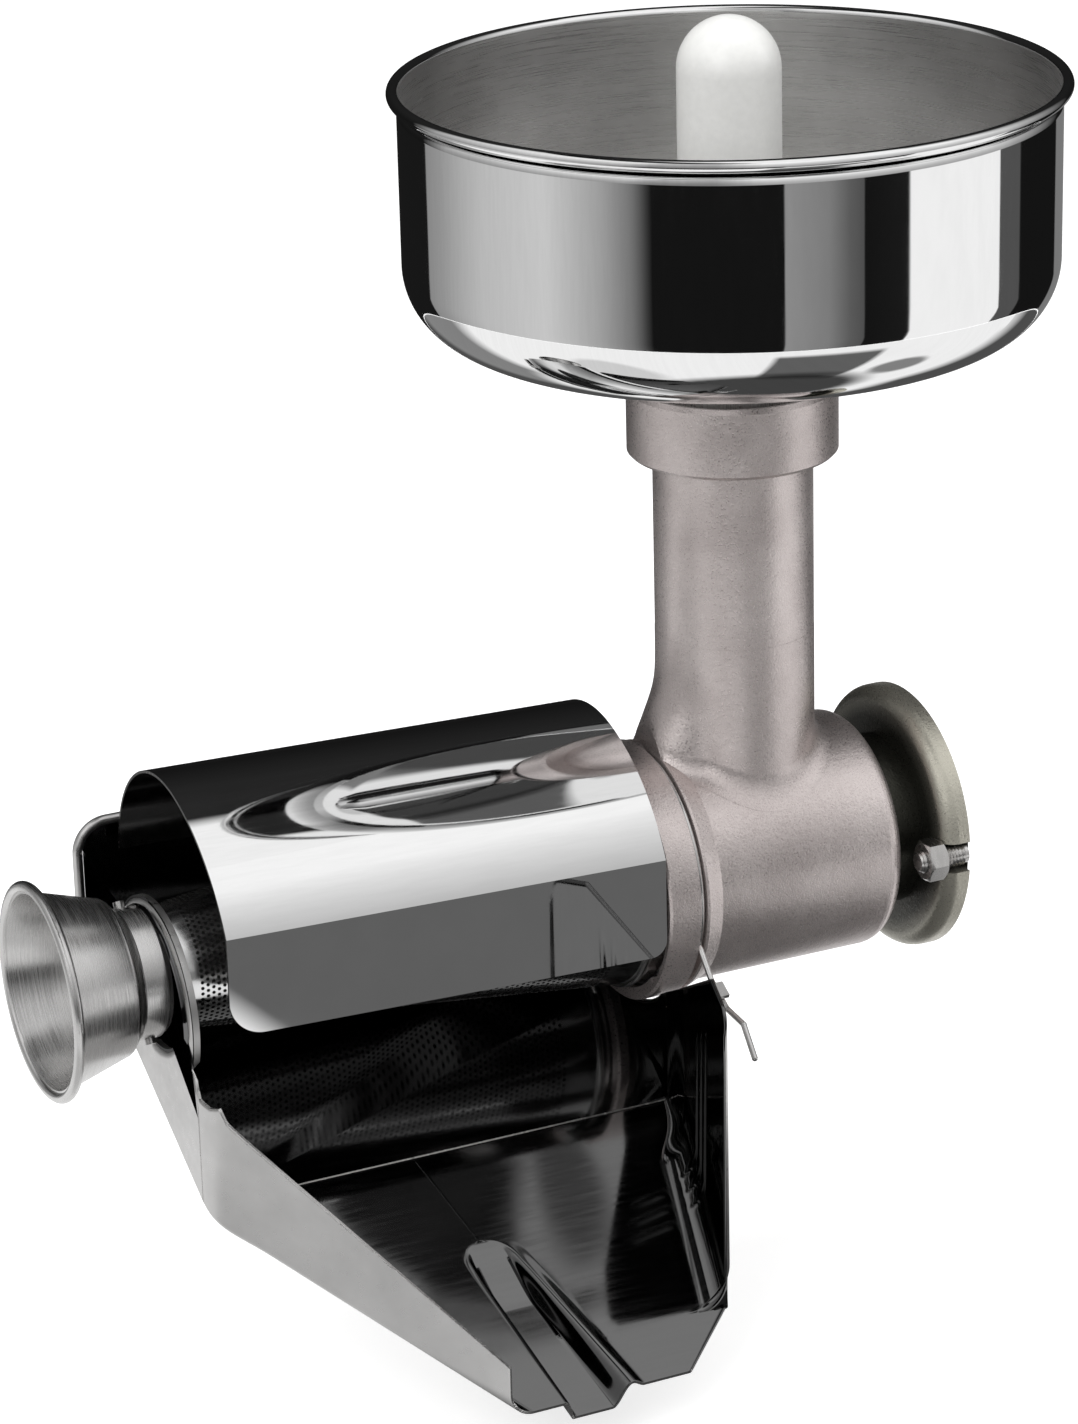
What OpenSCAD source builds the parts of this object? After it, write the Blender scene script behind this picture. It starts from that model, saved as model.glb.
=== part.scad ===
// Screw-press food mill head: a cast body with a hopper on its neck, a perforated screen cone
// with a scraps horn on its nose, a folded juice chute under it and a splash shield over it.
// The origin is the centre of the motor flange's rear face, on the auger axis. +X leaves the
// mill towards the motor, the scraps horn is at -X, the juice runs towards -Y, and +Z is up.

/* [Motor flange] */
// Diameter of the motor flange
flange_d = 93; // [88:1:104]
// Thickness of the motor flange
flange_t = 9.5; // [7:0.5:10]
// Rounding of the flange's front edge
flange_round = 5.5; // [2:0.5:6.5]
// Diameter of the pilot recess in the flange's rear face
pilot_d = 52; // [46:1:60]
// Depth of the pilot recess
pilot_depth = 2.5; // [1:0.5:3]
// Distance between the two tie studs
stud_span = 85; // [82:1:88]
// Thread diameter of the tie studs
stud_d = 8; // [6:1:10]
// Thread pitch of the tie studs
thread_pitch = 1.25; // [1:0.25:1.5]
// Side play of a tie stud in its open slot
stud_play = 1.3; // [0.5:0.1:2]
// Width across flats of the tie nuts
nut_af = 13; // [10:1:17]
// Height of the tie nuts
nut_h = 7; // [5:0.5:8]
// How far a tie stud reaches past the flange towards the barrel
stud_reach = 9; // [8:0.5:11]

/* [Body casting] */
// Diameter of the hub between the flange and the barrel
hub_d = 60; // [54:1:64]
// Length of that hub
hub_len = 12.5; // [12:0.5:20]
// Diameter of the barrel
barrel_d = 83; // [78:1:86]
// Rounding of the barrel's rear edge
barrel_round = 6; // [2:0.5:8]
// From the barrel's rear end to the neck's axis
back_len = 44; // [40:1:60]
// From the neck's axis to the front of the bayonet ring
front_len = 48; // [46:1:60]
// Diameter of the bayonet ring
ring_d = 88.6; // [86:0.2:92]
// Width of the bayonet ring
ring_w = 11.5; // [10:0.5:14]
// Diameter at the bottom of the spring groove
groove_d = 81.5; // [80:0.5:84]
// Width of the spring groove
groove_w = 2.6; // [2.4:0.2:4]
// Length of the shoulder that falls from the groove to the barrel
shoulder_len = 7; // [4:1:12]
// Diameter of the neck
neck_d = 54; // [50:1:60]
// Bore of the neck
neck_bore = 43; // [38:1:46]
// Height of the collar's lower edge above the auger axis
neck_h = 144; // [110:1:170]
// Height of the collar
collar_h = 24; // [18:1:32]
// Diameter of the collar
collar_d = 71; // [68:1:78]
// Depth of the hopper's socket in the collar
socket_depth = 17; // [12:1:20]
// Width of the web between the neck and the barrel
web_w = 34; // [24:1:46]
// Lean of the web from upright, in degrees
web_lean = 24; // [15:1:35]
// Reach of the web from the neck's axis, just above the barrel
web_foot = 34; // [30:0.5:37]
// Height of that point above the barrel
web_foot_z = 9.5; // [4:0.5:12]
// Bore of the auger chamber
chamber_d = 62; // [58:1:66]

/* [Auger and drive] */
// Gap between the auger's flight and the chamber or the screen
auger_gap = 1.2; // [0.6:0.1:2]
// Pitch of the auger's flight
auger_pitch = 42; // [34:1:56]
// Width of the flight seen from the end, in degrees
flight_angle = 42; // [30:1:60]
// Diameter of the auger's core in the chamber
core_d = 30; // [26:1:36]
// Diameter of the drive shaft
shaft_d = 20; // [16:1:22]
// Radial running clearance of the shaft in its bush
run_gap = 0.05; // [0.02:0.01:0.1]
// Outer diameter of the shaft bush
bush_d = 28; // [26:1:32]
// Thickness of the thrust washer
washer_t = 1.5; // [1:0.5:3]
// Height of the shaft's flange in front of the washer
shaft_flange_t = 3; // [2:0.5:5]
// Side of the square tang that drives the auger
tang_side = 12; // [10:1:13]
// Length of that tang
tang_len = 16; // [10:1:24]
// Width of the drive slot in the shaft's end
dog_w = 6; // [4:0.5:8]
// Depth of the drive slot
dog_depth = 5; // [3:0.5:6]

/* [Screen and horn] */
// Length of the screen cone
screen_len = 168; // [140:1:185]
// Diameter of the screen cone at its wide end
screen_d = 77; // [74:0.5:78]
// Diameter of the screen cone at its tip
tip_d = 41.5; // [38:0.5:46]
// Sheet thickness of the screen
screen_t = 0.8; // [0.6:0.1:1.2]
// Length of the bare band behind the perforated part
band_len = 7; // [4:1:10]
// Thickness of the screen's bayonet flange
lug_t = 3; // [2:0.5:4]
// Reach of the bayonet lugs beyond the flange
lug_reach = 2; // [1:0.2:2.2]
// Diameter of the bayonet pins on the screen's tip
pin_d = 3.6; // [3:0.2:4]
// Reach of the bayonet pins
pin_reach = 3.2; // [2:0.2:4]
// Length of the horn
horn_len = 36; // [30:1:50]
// Diameter of the horn's mouth over its wire edge
mouth_d = 73.6; // [64:0.2:80]
// Diameter of the wire in the horn's mouth
edge_wire_d = 3.6; // [2.4:0.2:4]
// Sheet thickness of the horn
horn_t = 1; // [0.8:0.1:1.6]
// Radial gap between the horn and the screen's collar
horn_gap = 0.3; // [0.2:0.05:0.5]
// Length of the horn's straight socket
socket_len = 7.5; // [7:0.5:10]
// Length over which the socket swells to the flare
swell_len = 5; // [3:0.5:8]
// Diameter of the horn where its flare begins
throat_d = 53; // [46:1:58]
// Angle that the horn turns to unlock
horn_turn = 24; // [15:1:30]

/* [Hopper and pestle] */
// Diameter of the hopper's wall
bowl_d = 217; // [180:1:240]
// Height of the hopper's rim above the collar
rim_rise = 100.5; // [90:0.5:120]
// Depth of the hopper's straight wall below the rim
wall_h = 57; // [40:1:70]
// Radius of the corner between wall and bottom
bowl_corner = 25; // [15:1:35]
// Slope of the hopper's bottom, in degrees
bowl_slope = 14.5; // [8:0.5:20]
// Sheet thickness of the hopper
bowl_t = 1; // [0.8:0.1:1.5]
// Radius of the rolled rim
bead_r = 2.1; // [1.5:0.1:3]
// Diameter of the hopper's spigot
spigot_d = 61; // [58:1:62]
// Diameter of the pestle
pestle_d = 34.4; // [30:0.2:38]
// Height of the pestle's top above the hopper's rim
pestle_rise = 22.5; // [10:0.5:50]
// Length of the pestle below its stop
pestle_nose = 112; // [60:1:120]
// Diameter of the pestle's stop
stop_d = 78; // [70:1:100]
// Thickness of the pestle's stop
stop_t = 5; // [3:0.5:8]

/* [Juice chute] */
// Sheet thickness of the chute
chute_t = 1; // [0.8:0.1:1.5]
// From the auger axis back to the chute's rear wall
rear_y = 61; // [58:1:70]
// Height of the rear wall's top above the auger axis
rear_top = 28; // [20:1:36]
// Depth of the floor under the auger axis
floor_z = 49.5; // [47:0.5:60]
// Slope of the floor, in degrees
floor_slope = 30; // [24:0.5:36]
// Radius between the rear wall and the floor
floor_round = 22; // [12:1:30]
// From the auger axis to where the left wall bends
bend_y = 45; // [38:1:55]
// From the auger axis to the mouth's lip
mouth_y = 126; // [110:1:140]
// Width of the mouth's straight lip
mouth_w = 62; // [50:1:80]
// From the chute's right wall to the middle of the mouth
mouth_offset = 74; // [66:1:84]
// Reach of the right wall's front edge from the auger axis
wing_y = 107; // [95:1:112]
// How far the right wall leans in at that edge
wing_in = 19; // [8:1:24]
// Height of the left wall at the lip
lip_h = 18; // [10:1:30]
// Slope of the left wall's upper edge, in degrees
edge_slope = 41.5; // [36:0.5:46]
// Width of the channel pressed into the floor
channel_w = 15; // [12:1:20]
// Width of the channel at the lip
channel_mouth_w = 22; // [16:1:28]
// How far the channel's upper end lies left of the mouth's middle
channel_slant = 13; // [0:1:20]
// Depth of that channel
channel_depth = 5; // [3:0.5:8]
// Outer radius of the hanging ring in the left wall
hang_r = 34.5; // [32:0.5:36]
// Width of the hanging ring's sheet
hang_w = 3; // [2:0.2:4]
// Gap below the collar in the hanging ring
hang_play = 6; // [3:0.5:8]
// From the screen's tip back to the chute's left wall
left_gap = 4; // [3:0.5:5]
// Width of the ears that rest on the retaining wire
ear_w = 6; // [4:1:10]
// Wire diameter of the chute's hem
hem_d = 3.4; // [2.4:0.2:4]

/* [Splash shield] */
// Outer radius of the shield
shield_r = 50; // [48:0.5:54]
// Sheet thickness of the shield
shield_t = 0.9; // [0.7:0.1:1.2]
// Length of the shield
shield_len = 157; // [130:1:158]
// Gap between the shield and the bayonet ring
shield_gap = 1; // [0.5:0.5:4]
// How far the shield's front hangs below the auger axis
shield_drop = 14; // [5:1:20]
// How much higher the shield's front edge is at the horn's end
shield_rise = 4.5; // [0:0.5:8]
// Radius of the shield's outer front corner
shield_corner = 12; // [5:1:16]
// Width of a hinge strap
strap_w = 14; // [8:1:20]
// From the shield's ends to the middle of its straps
strap_in = 35; // [20:1:50]

/* [Retaining wire] */
// Diameter of the retaining wire
wire_d = 2; // [1.6:0.1:2.2]
// Length of the wire's finger grip
grip_len = 24; // [15:1:30]

/* [Fits] */
// Gap between loose pieces that rest on each other
seat = 0.3; // [0.2:0.05:0.4]
// Radial gap between pieces pushed into each other
close_fit = 0.01; // [0.01:0.01:0.05]

/* [Hidden] */
$fn = 96;

barrel_x = -flange_t - hub_len;
neck_x = barrel_x - back_len;
ring_x = neck_x - front_len;
groove_x = ring_x + ring_w;
undercut_r = screen_d / 2 + 1 + lug_reach + seat;
flange_back_x = ring_x + 3 + lug_t + 2 * seat;
cone_x = ring_x + 3 + seat;
tip_x = cone_x - screen_len;
left_x = tip_x - left_gap;
horn_x = left_x - chute_t - 1;
pin_x = horn_x - 3.5;
collar_end_x = horn_x - socket_len;
hang_z = -(hang_r - hang_w - tip_d / 2 - seat);
chamber_back_x = barrel_x - 2;
hang_low = -14.5;
far = 2 * mouth_y;
collar_top = neck_h + collar_h;
rim_z = collar_top + rim_rise;
pestle_top = rim_z + pestle_rise;
socket_floor = collar_top - socket_depth;
slope_drop = (bowl_d / 2 - bowl_corner * (1 - sin(bowl_slope)) - spigot_d / 2) * tan(bowl_slope);
corner_z = rim_z - wall_h;
corner_low = corner_z - bowl_corner * cos(bowl_slope);
throat_z = corner_low - slope_drop;
lug_half = 13;
stop_z = throat_z + (stop_d - spigot_d) / 2 * tan(bowl_slope) + bowl_t / cos(bowl_slope) + seat;
right_x = ring_x + 4;
lip_x = right_x - mouth_offset;
hinge_y = rear_y - chute_t / 2;
hinge_z = rear_top + hem_d / 2;
shield_y = hinge_y - 55.5;
shield_z = 10;
shield_x = ring_x - shield_gap;
shield_back_z = 19;
channel_start = 76;
hem_corner = 9;
wire_x = groove_x + groove_w / 2;
leg_in = [48, -24];
leg_out = [59, -30];

// Points on an arc about (cx, cy) from angle a0 to a1
function arc(cx, cy, r, a0, a1, n = 12) =
    [for (i = [0:n]) let (a = a0 + (a1 - a0) * i / n) [cx + r * cos(a), cy + r * sin(a)]];

// Where the lines a-b and c-d cross
function cross_at(a, b, c, d) =
    let (u = b - a, v = d - c, k = ((c[0] - a[0]) * v[1] - (c[1] - a[1]) * v[0]) / (u[0] * v[1] - u[1] * v[0]))
    a + k * u;

// A closed outline with each edge i moved inwards by inset[i]; the outline runs anticlockwise
function inset_outline(p, inset) =
    let (n = len(p),
        e = [for (i = [0:n - 1])
            let (a = p[i], b = p[(i + 1) % n], u = (b - a) / norm(b - a), w = [-u[1], u[0]] * inset[i])
            [a + w, b + w]])
    [for (i = [0:n - 1]) let (j = (i + n - 1) % n) cross_at(e[j][0], e[j][1], e[i][0], e[i][1])];

// Turns a shape drawn about Z so that it lies about the auger axis, its Z along +X
module along_x(x = 0) {
    translate([x, 0, 0]) rotate([0, 90, 0]) children();
}

// Stands a Y-Z outline up and gives it length along X, from x0 to x1
module span_x(x0, x1) {
    translate([x0, 0, 0]) rotate([90, 0, 90]) linear_extrude(x1 - x0) children();
}

// A slice of a disc between two angles
module sector(r, a0, a1, h) {
    intersection() {
        cylinder(r = r, h = h);
        linear_extrude(h) polygon([[0, 0], 2 * r * [cos(a0), sin(a0)], 2 * r * [cos(a1), sin(a1)]]);
    }
}

module rounded_disc(r, h, round_r) {
    rotate_extrude() {
        square([r - round_r, h]);
        translate([0, round_r]) square([r, h - 2 * round_r]);
        for (z = [round_r, h - round_r]) translate([r - round_r, z]) circle(round_r, $fn = 32);
    }
}

// One of the two open slots for the tie studs, on the side given by the sign
module stud_slot(side) {
    w = stud_d + 2 * stud_play;
    span = flange_d / 2;
    translate([-flange_t - 1, side * stud_span / 2, 0]) {
        along_x() cylinder(d = w, h = flange_t + 2);
        translate([0, side > 0 ? 0 : -span, -w / 2]) cube([flange_t + 2, span, w]);
    }
}

// Cast web in front of the neck: a round bar that leans against it
module neck_web() {
    r = web_w / 2;
    run = (web_foot - neck_d / 2) / sin(web_lean);
    translate([neck_x - web_foot, 0, barrel_d / 2 + web_foot_z]) rotate([0, web_lean, 0])
        translate([r, 0, -web_w / 2]) cylinder(r = r, h = web_w / 2 + run);
}

// Outside of the casting along the auger axis: ring, groove, shoulder, barrel and hub
module barrel_outside() {
    ring_r = ring_d / 2;
    shoulder_x = groove_x + groove_w;
    along_x() rotate_extrude() polygon(concat(
        [[0, ring_x], [ring_r - 0.8, ring_x], [ring_r, ring_x + 0.8], [ring_r, groove_x],
            [groove_d / 2, groove_x], [groove_d / 2, shoulder_x], [ring_r - 0.6, shoulder_x],
            [ring_r - 0.6, shoulder_x + 1], [barrel_d / 2, shoulder_x + shoulder_len]],
        arc(barrel_d / 2 - barrel_round, barrel_x - barrel_round, barrel_round, 0, 90, 8),
        [[hub_d / 2, barrel_x], [hub_d / 2, -flange_t / 2], [0, -flange_t / 2]]));
}

// Flange with a sharp rear edge and a round front edge
module motor_flange() {
    r = flange_d / 2;
    along_x(-flange_t) rotate_extrude() {
        square([r - flange_round, flange_t]);
        translate([0, flange_round]) square([r, flange_t - flange_round]);
        translate([r - flange_round, flange_round]) circle(flange_round, $fn = 48);
    }
}

module body_casting() {
    notch_half = lug_half + 2;
    color("#b3a9a5") difference() {
        union() {
            barrel_outside();
            motor_flange();
            translate([neck_x, 0, 0]) cylinder(d = neck_d, h = neck_h + 1);
            translate([neck_x, 0, neck_h]) rotate_extrude() polygon([[0, 0], [collar_d / 2 - 1.2, 0],
                [collar_d / 2, 1.2], [collar_d / 2, collar_h - 1.5], [collar_d / 2 - 1.5, collar_h], [0, collar_h]]);
            neck_web();
        }
        // spring groove
        along_x(groove_x) difference() {
            cylinder(d = ring_d + 20, h = groove_w);
            translate([0, 0, -1]) cylinder(d = groove_d, h = groove_w + 2);
        }
        // auger chamber, screen seat and bayonet undercut
        along_x(ring_x - 1) cylinder(d = chamber_d, h = chamber_back_x - ring_x + 1);
        along_x(ring_x - 1) cylinder(r = screen_d / 2 + 1 + seat, h = flange_back_x - ring_x + 1);
        along_x(ring_x + 3) cylinder(r = undercut_r, h = lug_t + 2 * seat);
        // three ways in for the screen's lugs
        for (a = [0:120:240]) along_x(ring_x - 1) sector(undercut_r, a + 60 - notch_half, a + 60 + notch_half, 5);
        // bush bore, seal bore and pilot recess
        along_x(chamber_back_x - 1) cylinder(d = bush_d, h = -chamber_back_x + 2);
        along_x(-pilot_depth) cylinder(d = pilot_d, h = pilot_depth + 1);
        for (side = [-1, 1]) stud_slot(side);
        // feed bore and the hopper's socket
        translate([neck_x, 0, 0]) cylinder(d = neck_bore, h = collar_top + 1);
        translate([neck_x, 0, socket_floor]) cylinder(r = spigot_d / 2 + seat, h = socket_depth + 1);
        translate([neck_x, 0, collar_top - 2]) cylinder(r1 = spigot_d / 2 + seat, r2 = spigot_d / 2 + seat + 2, h = 2.01);
    }
}

// Two threaded studs that end flush with the flange's rear face, thread ridges as rings
module tie_studs() {
    n = floor((flange_t + stud_reach - 1.5) / thread_pitch);
    root = stud_d - 1.2;
    color("#a9aaa4") for (side = [-1, 1]) translate([0, side * stud_span / 2, 0])
        along_x(-flange_t - stud_reach) rotate_extrude($fn = 48) polygon(concat([[0, 0], [root / 2 - 0.4, 0], [root / 2, 0.5]],
            [for (i = [0:n - 1], k = [0:2])
                [[root, stud_d, root][k] / 2, 1 + (i + [0.02, 0.5, 0.98][k]) * thread_pitch]],
            [[root / 2, flange_t + stud_reach], [0, flange_t + stud_reach]]));
}

// A hex nut with chamfered corners, against the flange's front face
module tie_nut(side) {
    corner_r = nut_af / 2 / cos(30);
    color("#c9c9c2") translate([-flange_t - nut_h, side * stud_span / 2, 0]) difference() {
        intersection() {
            along_x() rotate(30) cylinder(r = corner_r, h = nut_h, $fn = 6);
            along_x() rotate_extrude() polygon([[0, 0], [nut_af / 2 - 0.3, 0], [corner_r, 0.9],
                [corner_r, nut_h - 0.9], [nut_af / 2 - 0.3, nut_h], [0, nut_h]]);
        }
        along_x(-1) cylinder(r = stud_d / 2 + run_gap, h = nut_h + 2);
    }
}

module shaft_bush() {
    color("#8a6f45") along_x(chamber_back_x) difference() {
        cylinder(d = bush_d - 2 * close_fit, h = -chamber_back_x - 9.1);
        translate([0, 0, -1]) cylinder(r = shaft_d / 2 + run_gap, h = -chamber_back_x);
    }
}

module thrust_washer() {
    color("#e4ddcc") along_x(chamber_back_x - washer_t) difference() {
        cylinder(d = bush_d + 6, h = washer_t);
        translate([0, 0, -1]) cylinder(r = shaft_d / 2 + run_gap, h = washer_t + 2);
    }
}

// Lip seal behind the bush
module shaft_seal() {
    color("#2b2b2b") along_x(-9) difference() {
        cylinder(d = bush_d - 2 * close_fit, h = 9 - pilot_depth - 1);
        translate([0, 0, -1]) cylinder(r = shaft_d / 2 + run_gap, h = 10);
        translate([0, 0, 2]) difference() {
            cylinder(d = bush_d - 4, h = 10);
            translate([0, 0, -1]) cylinder(d = shaft_d + 3, h = 12);
        }
    }
}

module drive_shaft() {
    end_x = -pilot_depth - 0.5;
    head_x = chamber_back_x - washer_t - seat - shaft_flange_t;
    color("#9d9fa0") difference() {
        union() {
            along_x(head_x) cylinder(d = bush_d + 4, h = shaft_flange_t);
            along_x(head_x + shaft_flange_t) cylinder(d = shaft_d, h = -head_x - shaft_flange_t + end_x);
            translate([head_x - tang_len, -tang_side / 2, -tang_side / 2]) cube([tang_len + 1, tang_side, tang_side]);
        }
        translate([end_x - dog_depth, -shaft_d, -dog_w / 2]) cube([dog_depth + 1, 2 * shaft_d, dog_w]);
    }
}

// Section of the auger: round core and one flight
module auger_section(core, flight) {
    circle(core, $fn = 24);
    polygon(concat([[0, 0]], arc(0, 0, flight, 0, flight_angle, 4)));
}

module auger() {
    back_x = chamber_back_x - washer_t - seat - shaft_flange_t;
    wide_x = ring_x + 3 + lug_t;
    back_len_x = back_x - wide_x;
    wide_r = screen_d / 2 - screen_t - auger_gap;
    tip_r = tip_d / 2 - screen_t - auger_gap;
    cone_len = screen_len - 2;
    turn_back = 360 * back_len_x / auger_pitch;
    color("#e8e6df") difference() {
        union() {
            along_x(wide_x) linear_extrude(back_len_x, twist = -turn_back, slices = round(turn_back / 20), $fn = 24)
                auger_section(core_d / 2, chamber_d / 2 - auger_gap);
            along_x(wide_x + 0.01) mirror([0, 0, 1]) linear_extrude(cone_len, twist = 360 * cone_len / auger_pitch,
                scale = tip_r / wide_r, slices = round(18 * cone_len / auger_pitch), $fn = 24)
                auger_section(core_d / 2, wide_r);
        }
        translate([back_x - tang_len - seat, -tang_side / 2 - run_gap, -tang_side / 2 - run_gap])
            cube([tang_len + 2, tang_side + 2 * run_gap, tang_side + 2 * run_gap]);
    }
}

// Bayonet flange with three lugs, soldered round the screen's wide end
module screen_flange() {
    r = screen_d / 2 + 1;
    color("#c4c2bc") along_x(cone_x) difference() {
        union() {
            cylinder(r = r, h = lug_t);
            for (a = [0:120:240]) sector(r + lug_reach, a - lug_half, a + lug_half, lug_t);
        }
        translate([0, 0, -1]) cylinder(r = screen_d / 2 - screen_t, h = lug_t + 2);
    }
}

module screen_cone() {
    r_tip = tip_d / 2;
    r_wide = screen_d / 2;
    color("#8f9092") along_x(tip_x) difference() {
        cylinder(r1 = r_tip, r2 = r_wide, h = screen_len);
        translate([0, 0, -0.01]) cylinder(r1 = r_tip - screen_t, r2 = r_wide - screen_t, h = screen_len + 0.02);
    }
}

// Raised bead where the bare band ends and the perforations begin
module screen_bead() {
    k = (screen_d - tip_d) / 2 / screen_len;
    r = screen_d / 2 - band_len * k;
    color("#d8d6d0") along_x(cone_x - band_len) rotate_extrude() intersection() {
        translate([r, 0]) circle(1.3, $fn = 24);
        polygon([[r + k * -3, -3], [r + 6, -3], [r + 6, 3], [r + k * 3, 3]]);
    }
}

// Turned collar on the tip: the chute's ring hangs on it, and two bayonet pins hold the horn
module tip_collar() {
    len = tip_x - collar_end_x;
    color("#b9bab8") along_x(collar_end_x) {
        difference() {
            cylinder(d = tip_d, h = len);
            translate([0, 0, -1]) cylinder(d = tip_d - 4, h = len + 2);
        }
        for (a = [150, 330]) rotate(a) translate([tip_d / 2 - 1, 0, pin_x - collar_end_x]) rotate([0, 90, 0])
            cylinder(d = pin_d, h = pin_reach + 1, $fn = 32);
    }
}

// Outline of the horn's wall, radius against distance from the socket's edge, offset inwards by t
function horn_wall(t) =
    let (r0 = tip_d / 2 + horn_gap + horn_t - t, r1 = throat_d / 2 - t, r2 = mouth_d / 2 - edge_wire_d + 0.4 - t)
    concat([[r0, 0], [r0, socket_len]], [for (i = [1:10]) let (a = 180 * i / 10)
        [r0 + (r1 - r0) * (1 - cos(a)) / 2, socket_len + swell_len * i / 10]], [[r2, horn_len]]);

// The horn: socket with two bayonet slots, a quick swell and a straight flare
module scraps_horn() {
    w = pin_d + 0.8;
    r = tip_d / 2 + horn_gap + horn_t + 3;
    slot_half = asin(w / 2 / (tip_d / 2));
    z = horn_x - pin_x;
    color("#b4b6b5") along_x(horn_x) mirror([0, 0, 1]) difference() {
        rotate_extrude() polygon(concat(horn_wall(0), [for (i = [12:-1:0]) horn_wall(horn_t)[i]]));
        for (a = [150, 330]) {
            translate([0, 0, z - w / 2]) difference() {
                sector(r, a - slot_half, a + horn_turn + slot_half, w);
                cylinder(d = tip_d - 2, h = w);
            }
            translate([0, 0, -1]) difference() {
                sector(r, a + horn_turn - slot_half, a + horn_turn + slot_half, z + 1);
                cylinder(d = tip_d - 2, h = z + 1);
            }
        }
    }
}

// Wire rolled into the horn's mouth
module horn_wire_edge() {
    r = edge_wire_d / 2;
    color("#c3c5c4") along_x(horn_x) mirror([0, 0, 1]) difference() {
        rotate_extrude() translate([mouth_d / 2 - r, horn_len - 0.3]) circle(r, $fn = 32);
        rotate_extrude() polygon(concat(horn_wall(0), [[0, horn_len], [0, 0]]));
    }
}

// Outline of the hopper's outside, from the rim down to the throat, moved inwards by t
function bowl_wall(t) = concat(
    [[bowl_d / 2 - t, rim_z]],
    arc(bowl_d / 2 - bowl_corner, corner_z, bowl_corner - t, 0, bowl_slope - 90, 14),
    [[spigot_d / 2, throat_z + t / cos(bowl_slope)]]);

module hopper_bowl() {
    n = 16;
    color("#d6d8da") translate([neck_x, 0, 0]) rotate_extrude($fn = 160)
        polygon(concat(bowl_wall(0), [for (i = [n:-1:0]) bowl_wall(bowl_t)[i]]));
}

module hopper_spigot() {
    wall = 1.2;
    top_z = throat_z + bowl_t / cos(bowl_slope);
    color("#c2c5c7") translate([neck_x, 0, socket_floor + seat]) difference() {
        cylinder(d = spigot_d, h = top_z - socket_floor - seat);
        translate([0, 0, -1]) cylinder(d = spigot_d - 2 * wall, h = top_z - socket_floor + 2);
    }
}

// Rim of the hopper, rolled outwards
module hopper_rim() {
    color("#e3e4e5") translate([neck_x, 0, rim_z]) rotate_extrude($fn = 160)
        translate([bowl_d / 2 + bead_r - bowl_t, 0]) difference() {
            circle(bead_r, $fn = 40);
            translate([-bead_r - 1, -bead_r - 1]) square([1 + bowl_t, bead_r + 1]);
        }
}

// White plastic pestle: a round-topped rod through a wide stop
module pestle() {
    r = pestle_d / 2;
    color("#f2f2ee") translate([neck_x, 0, 0]) union() {
        translate([0, 0, stop_z - pestle_nose]) cylinder(r = r, h = pestle_top - r - stop_z + pestle_nose);
        translate([0, 0, pestle_top - r]) sphere(r);
    }
}

module pestle_stop() {
    color("#e9e9e4") translate([neck_x, 0, stop_z]) difference() {
        rounded_disc(stop_d / 2, stop_t, 1.2);
        translate([0, 0, -1]) cylinder(d = pestle_d, h = stop_t + 2);
    }
}

// Height of the chute floor's underside at y
function floor_at(y) = -floor_z + y * tan(floor_slope);

// Section of the chute's inside or outside in the Y-Z plane, moved inwards by t
module chute_section(t) {
    r = floor_round;
    side = 1 / cos(floor_slope);
    cy = rear_y - r;
    cz = floor_at(cy) + r * side;
    top = 60;
    polygon(concat(
        [[rear_y - t, top]],
        arc(cy, cz, r - t, 0, floor_slope - 90, 10),
        [[-mouth_y - 10, floor_at(-mouth_y - 10) + t * side], [-mouth_y - 10, top]]));
}

// Plan of the chute, anticlockwise from its rear left corner
chute_plan = [[left_x, rear_y], [left_x, -bend_y], [lip_x - mouth_w / 2, -mouth_y], [lip_x + mouth_w / 2, -mouth_y],
    [right_x - wing_in, -wing_y], [right_x, -30], [right_x, rear_y]];

// What of the left wall stays, in the Y-Z plane: the hanging ring and the sheet under the free edge
module left_wall_keep() {
    lip_z = floor_at(-mouth_y) + lip_h;
    bend_z = lip_z + (mouth_y - bend_y - 5) * tan(edge_slope);
    translate([0, hang_z]) circle(hang_r);
    polygon([[rear_y, -120], [rear_y, -8], [30, -16], [-30, -22], [-36, -25], [-38, -31], [-44, -32],
        [-bend_y - 3, bend_z + 6], [-bend_y - 5, bend_z + 1.5], [-mouth_y, lip_z], [-mouth_y - 1, -140]]);
}

// What of the right wall stays: a cradle round the bayonet ring and a wing in front of it
module right_wall_keep() {
    r = ring_d / 2 + seat;
    difference() {
        polygon([[rear_y, -150], [rear_y, rear_top], [r + 1, rear_top], [r + 1, 0], [0, 0], [-28, -35], [-89, -3],
            [-wing_y + 3, -6], [-wing_y - 1, -12], [-wing_y - 1, floor_at(-wing_y) + 1], [-wing_y - 1, -150]]);
        circle(r);
        translate([-r, 0]) square([2 * r, 60]);
    }
}

// Channel pressed into the floor: slanted, wider and open at the lip, round at its upper end; grown by g
module channel(g) {
    low = -mouth_y - 10;
    top = -channel_start;
    k = (low - top) / (-mouth_y - top);
    x_top = lip_x - channel_slant;
    x_low = x_top + (lip_x - 6 - x_top + channel_slant / 2) * k;
    w_top = channel_w / 2 + g;
    w_low = (channel_w + (channel_mouth_w - channel_w) * k) / 2 + g;
    s = 1 / cos(floor_slope);
    bed = -floor_z * cos(floor_slope);
    slant = function(y) y * s - floor_z * sin(floor_slope);
    rotate([floor_slope, 0, 0]) translate([0, 0, bed - channel_depth + chute_t - g]) linear_extrude(channel_depth + 2 * g) {
        polygon([[x_top - w_top, slant(top)], [x_low - w_low, slant(low)], [x_low + w_low, slant(low)],
            [x_top + w_top, slant(top)]]);
        translate([x_top, slant(top)]) circle(w_top);
    }
}

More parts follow.
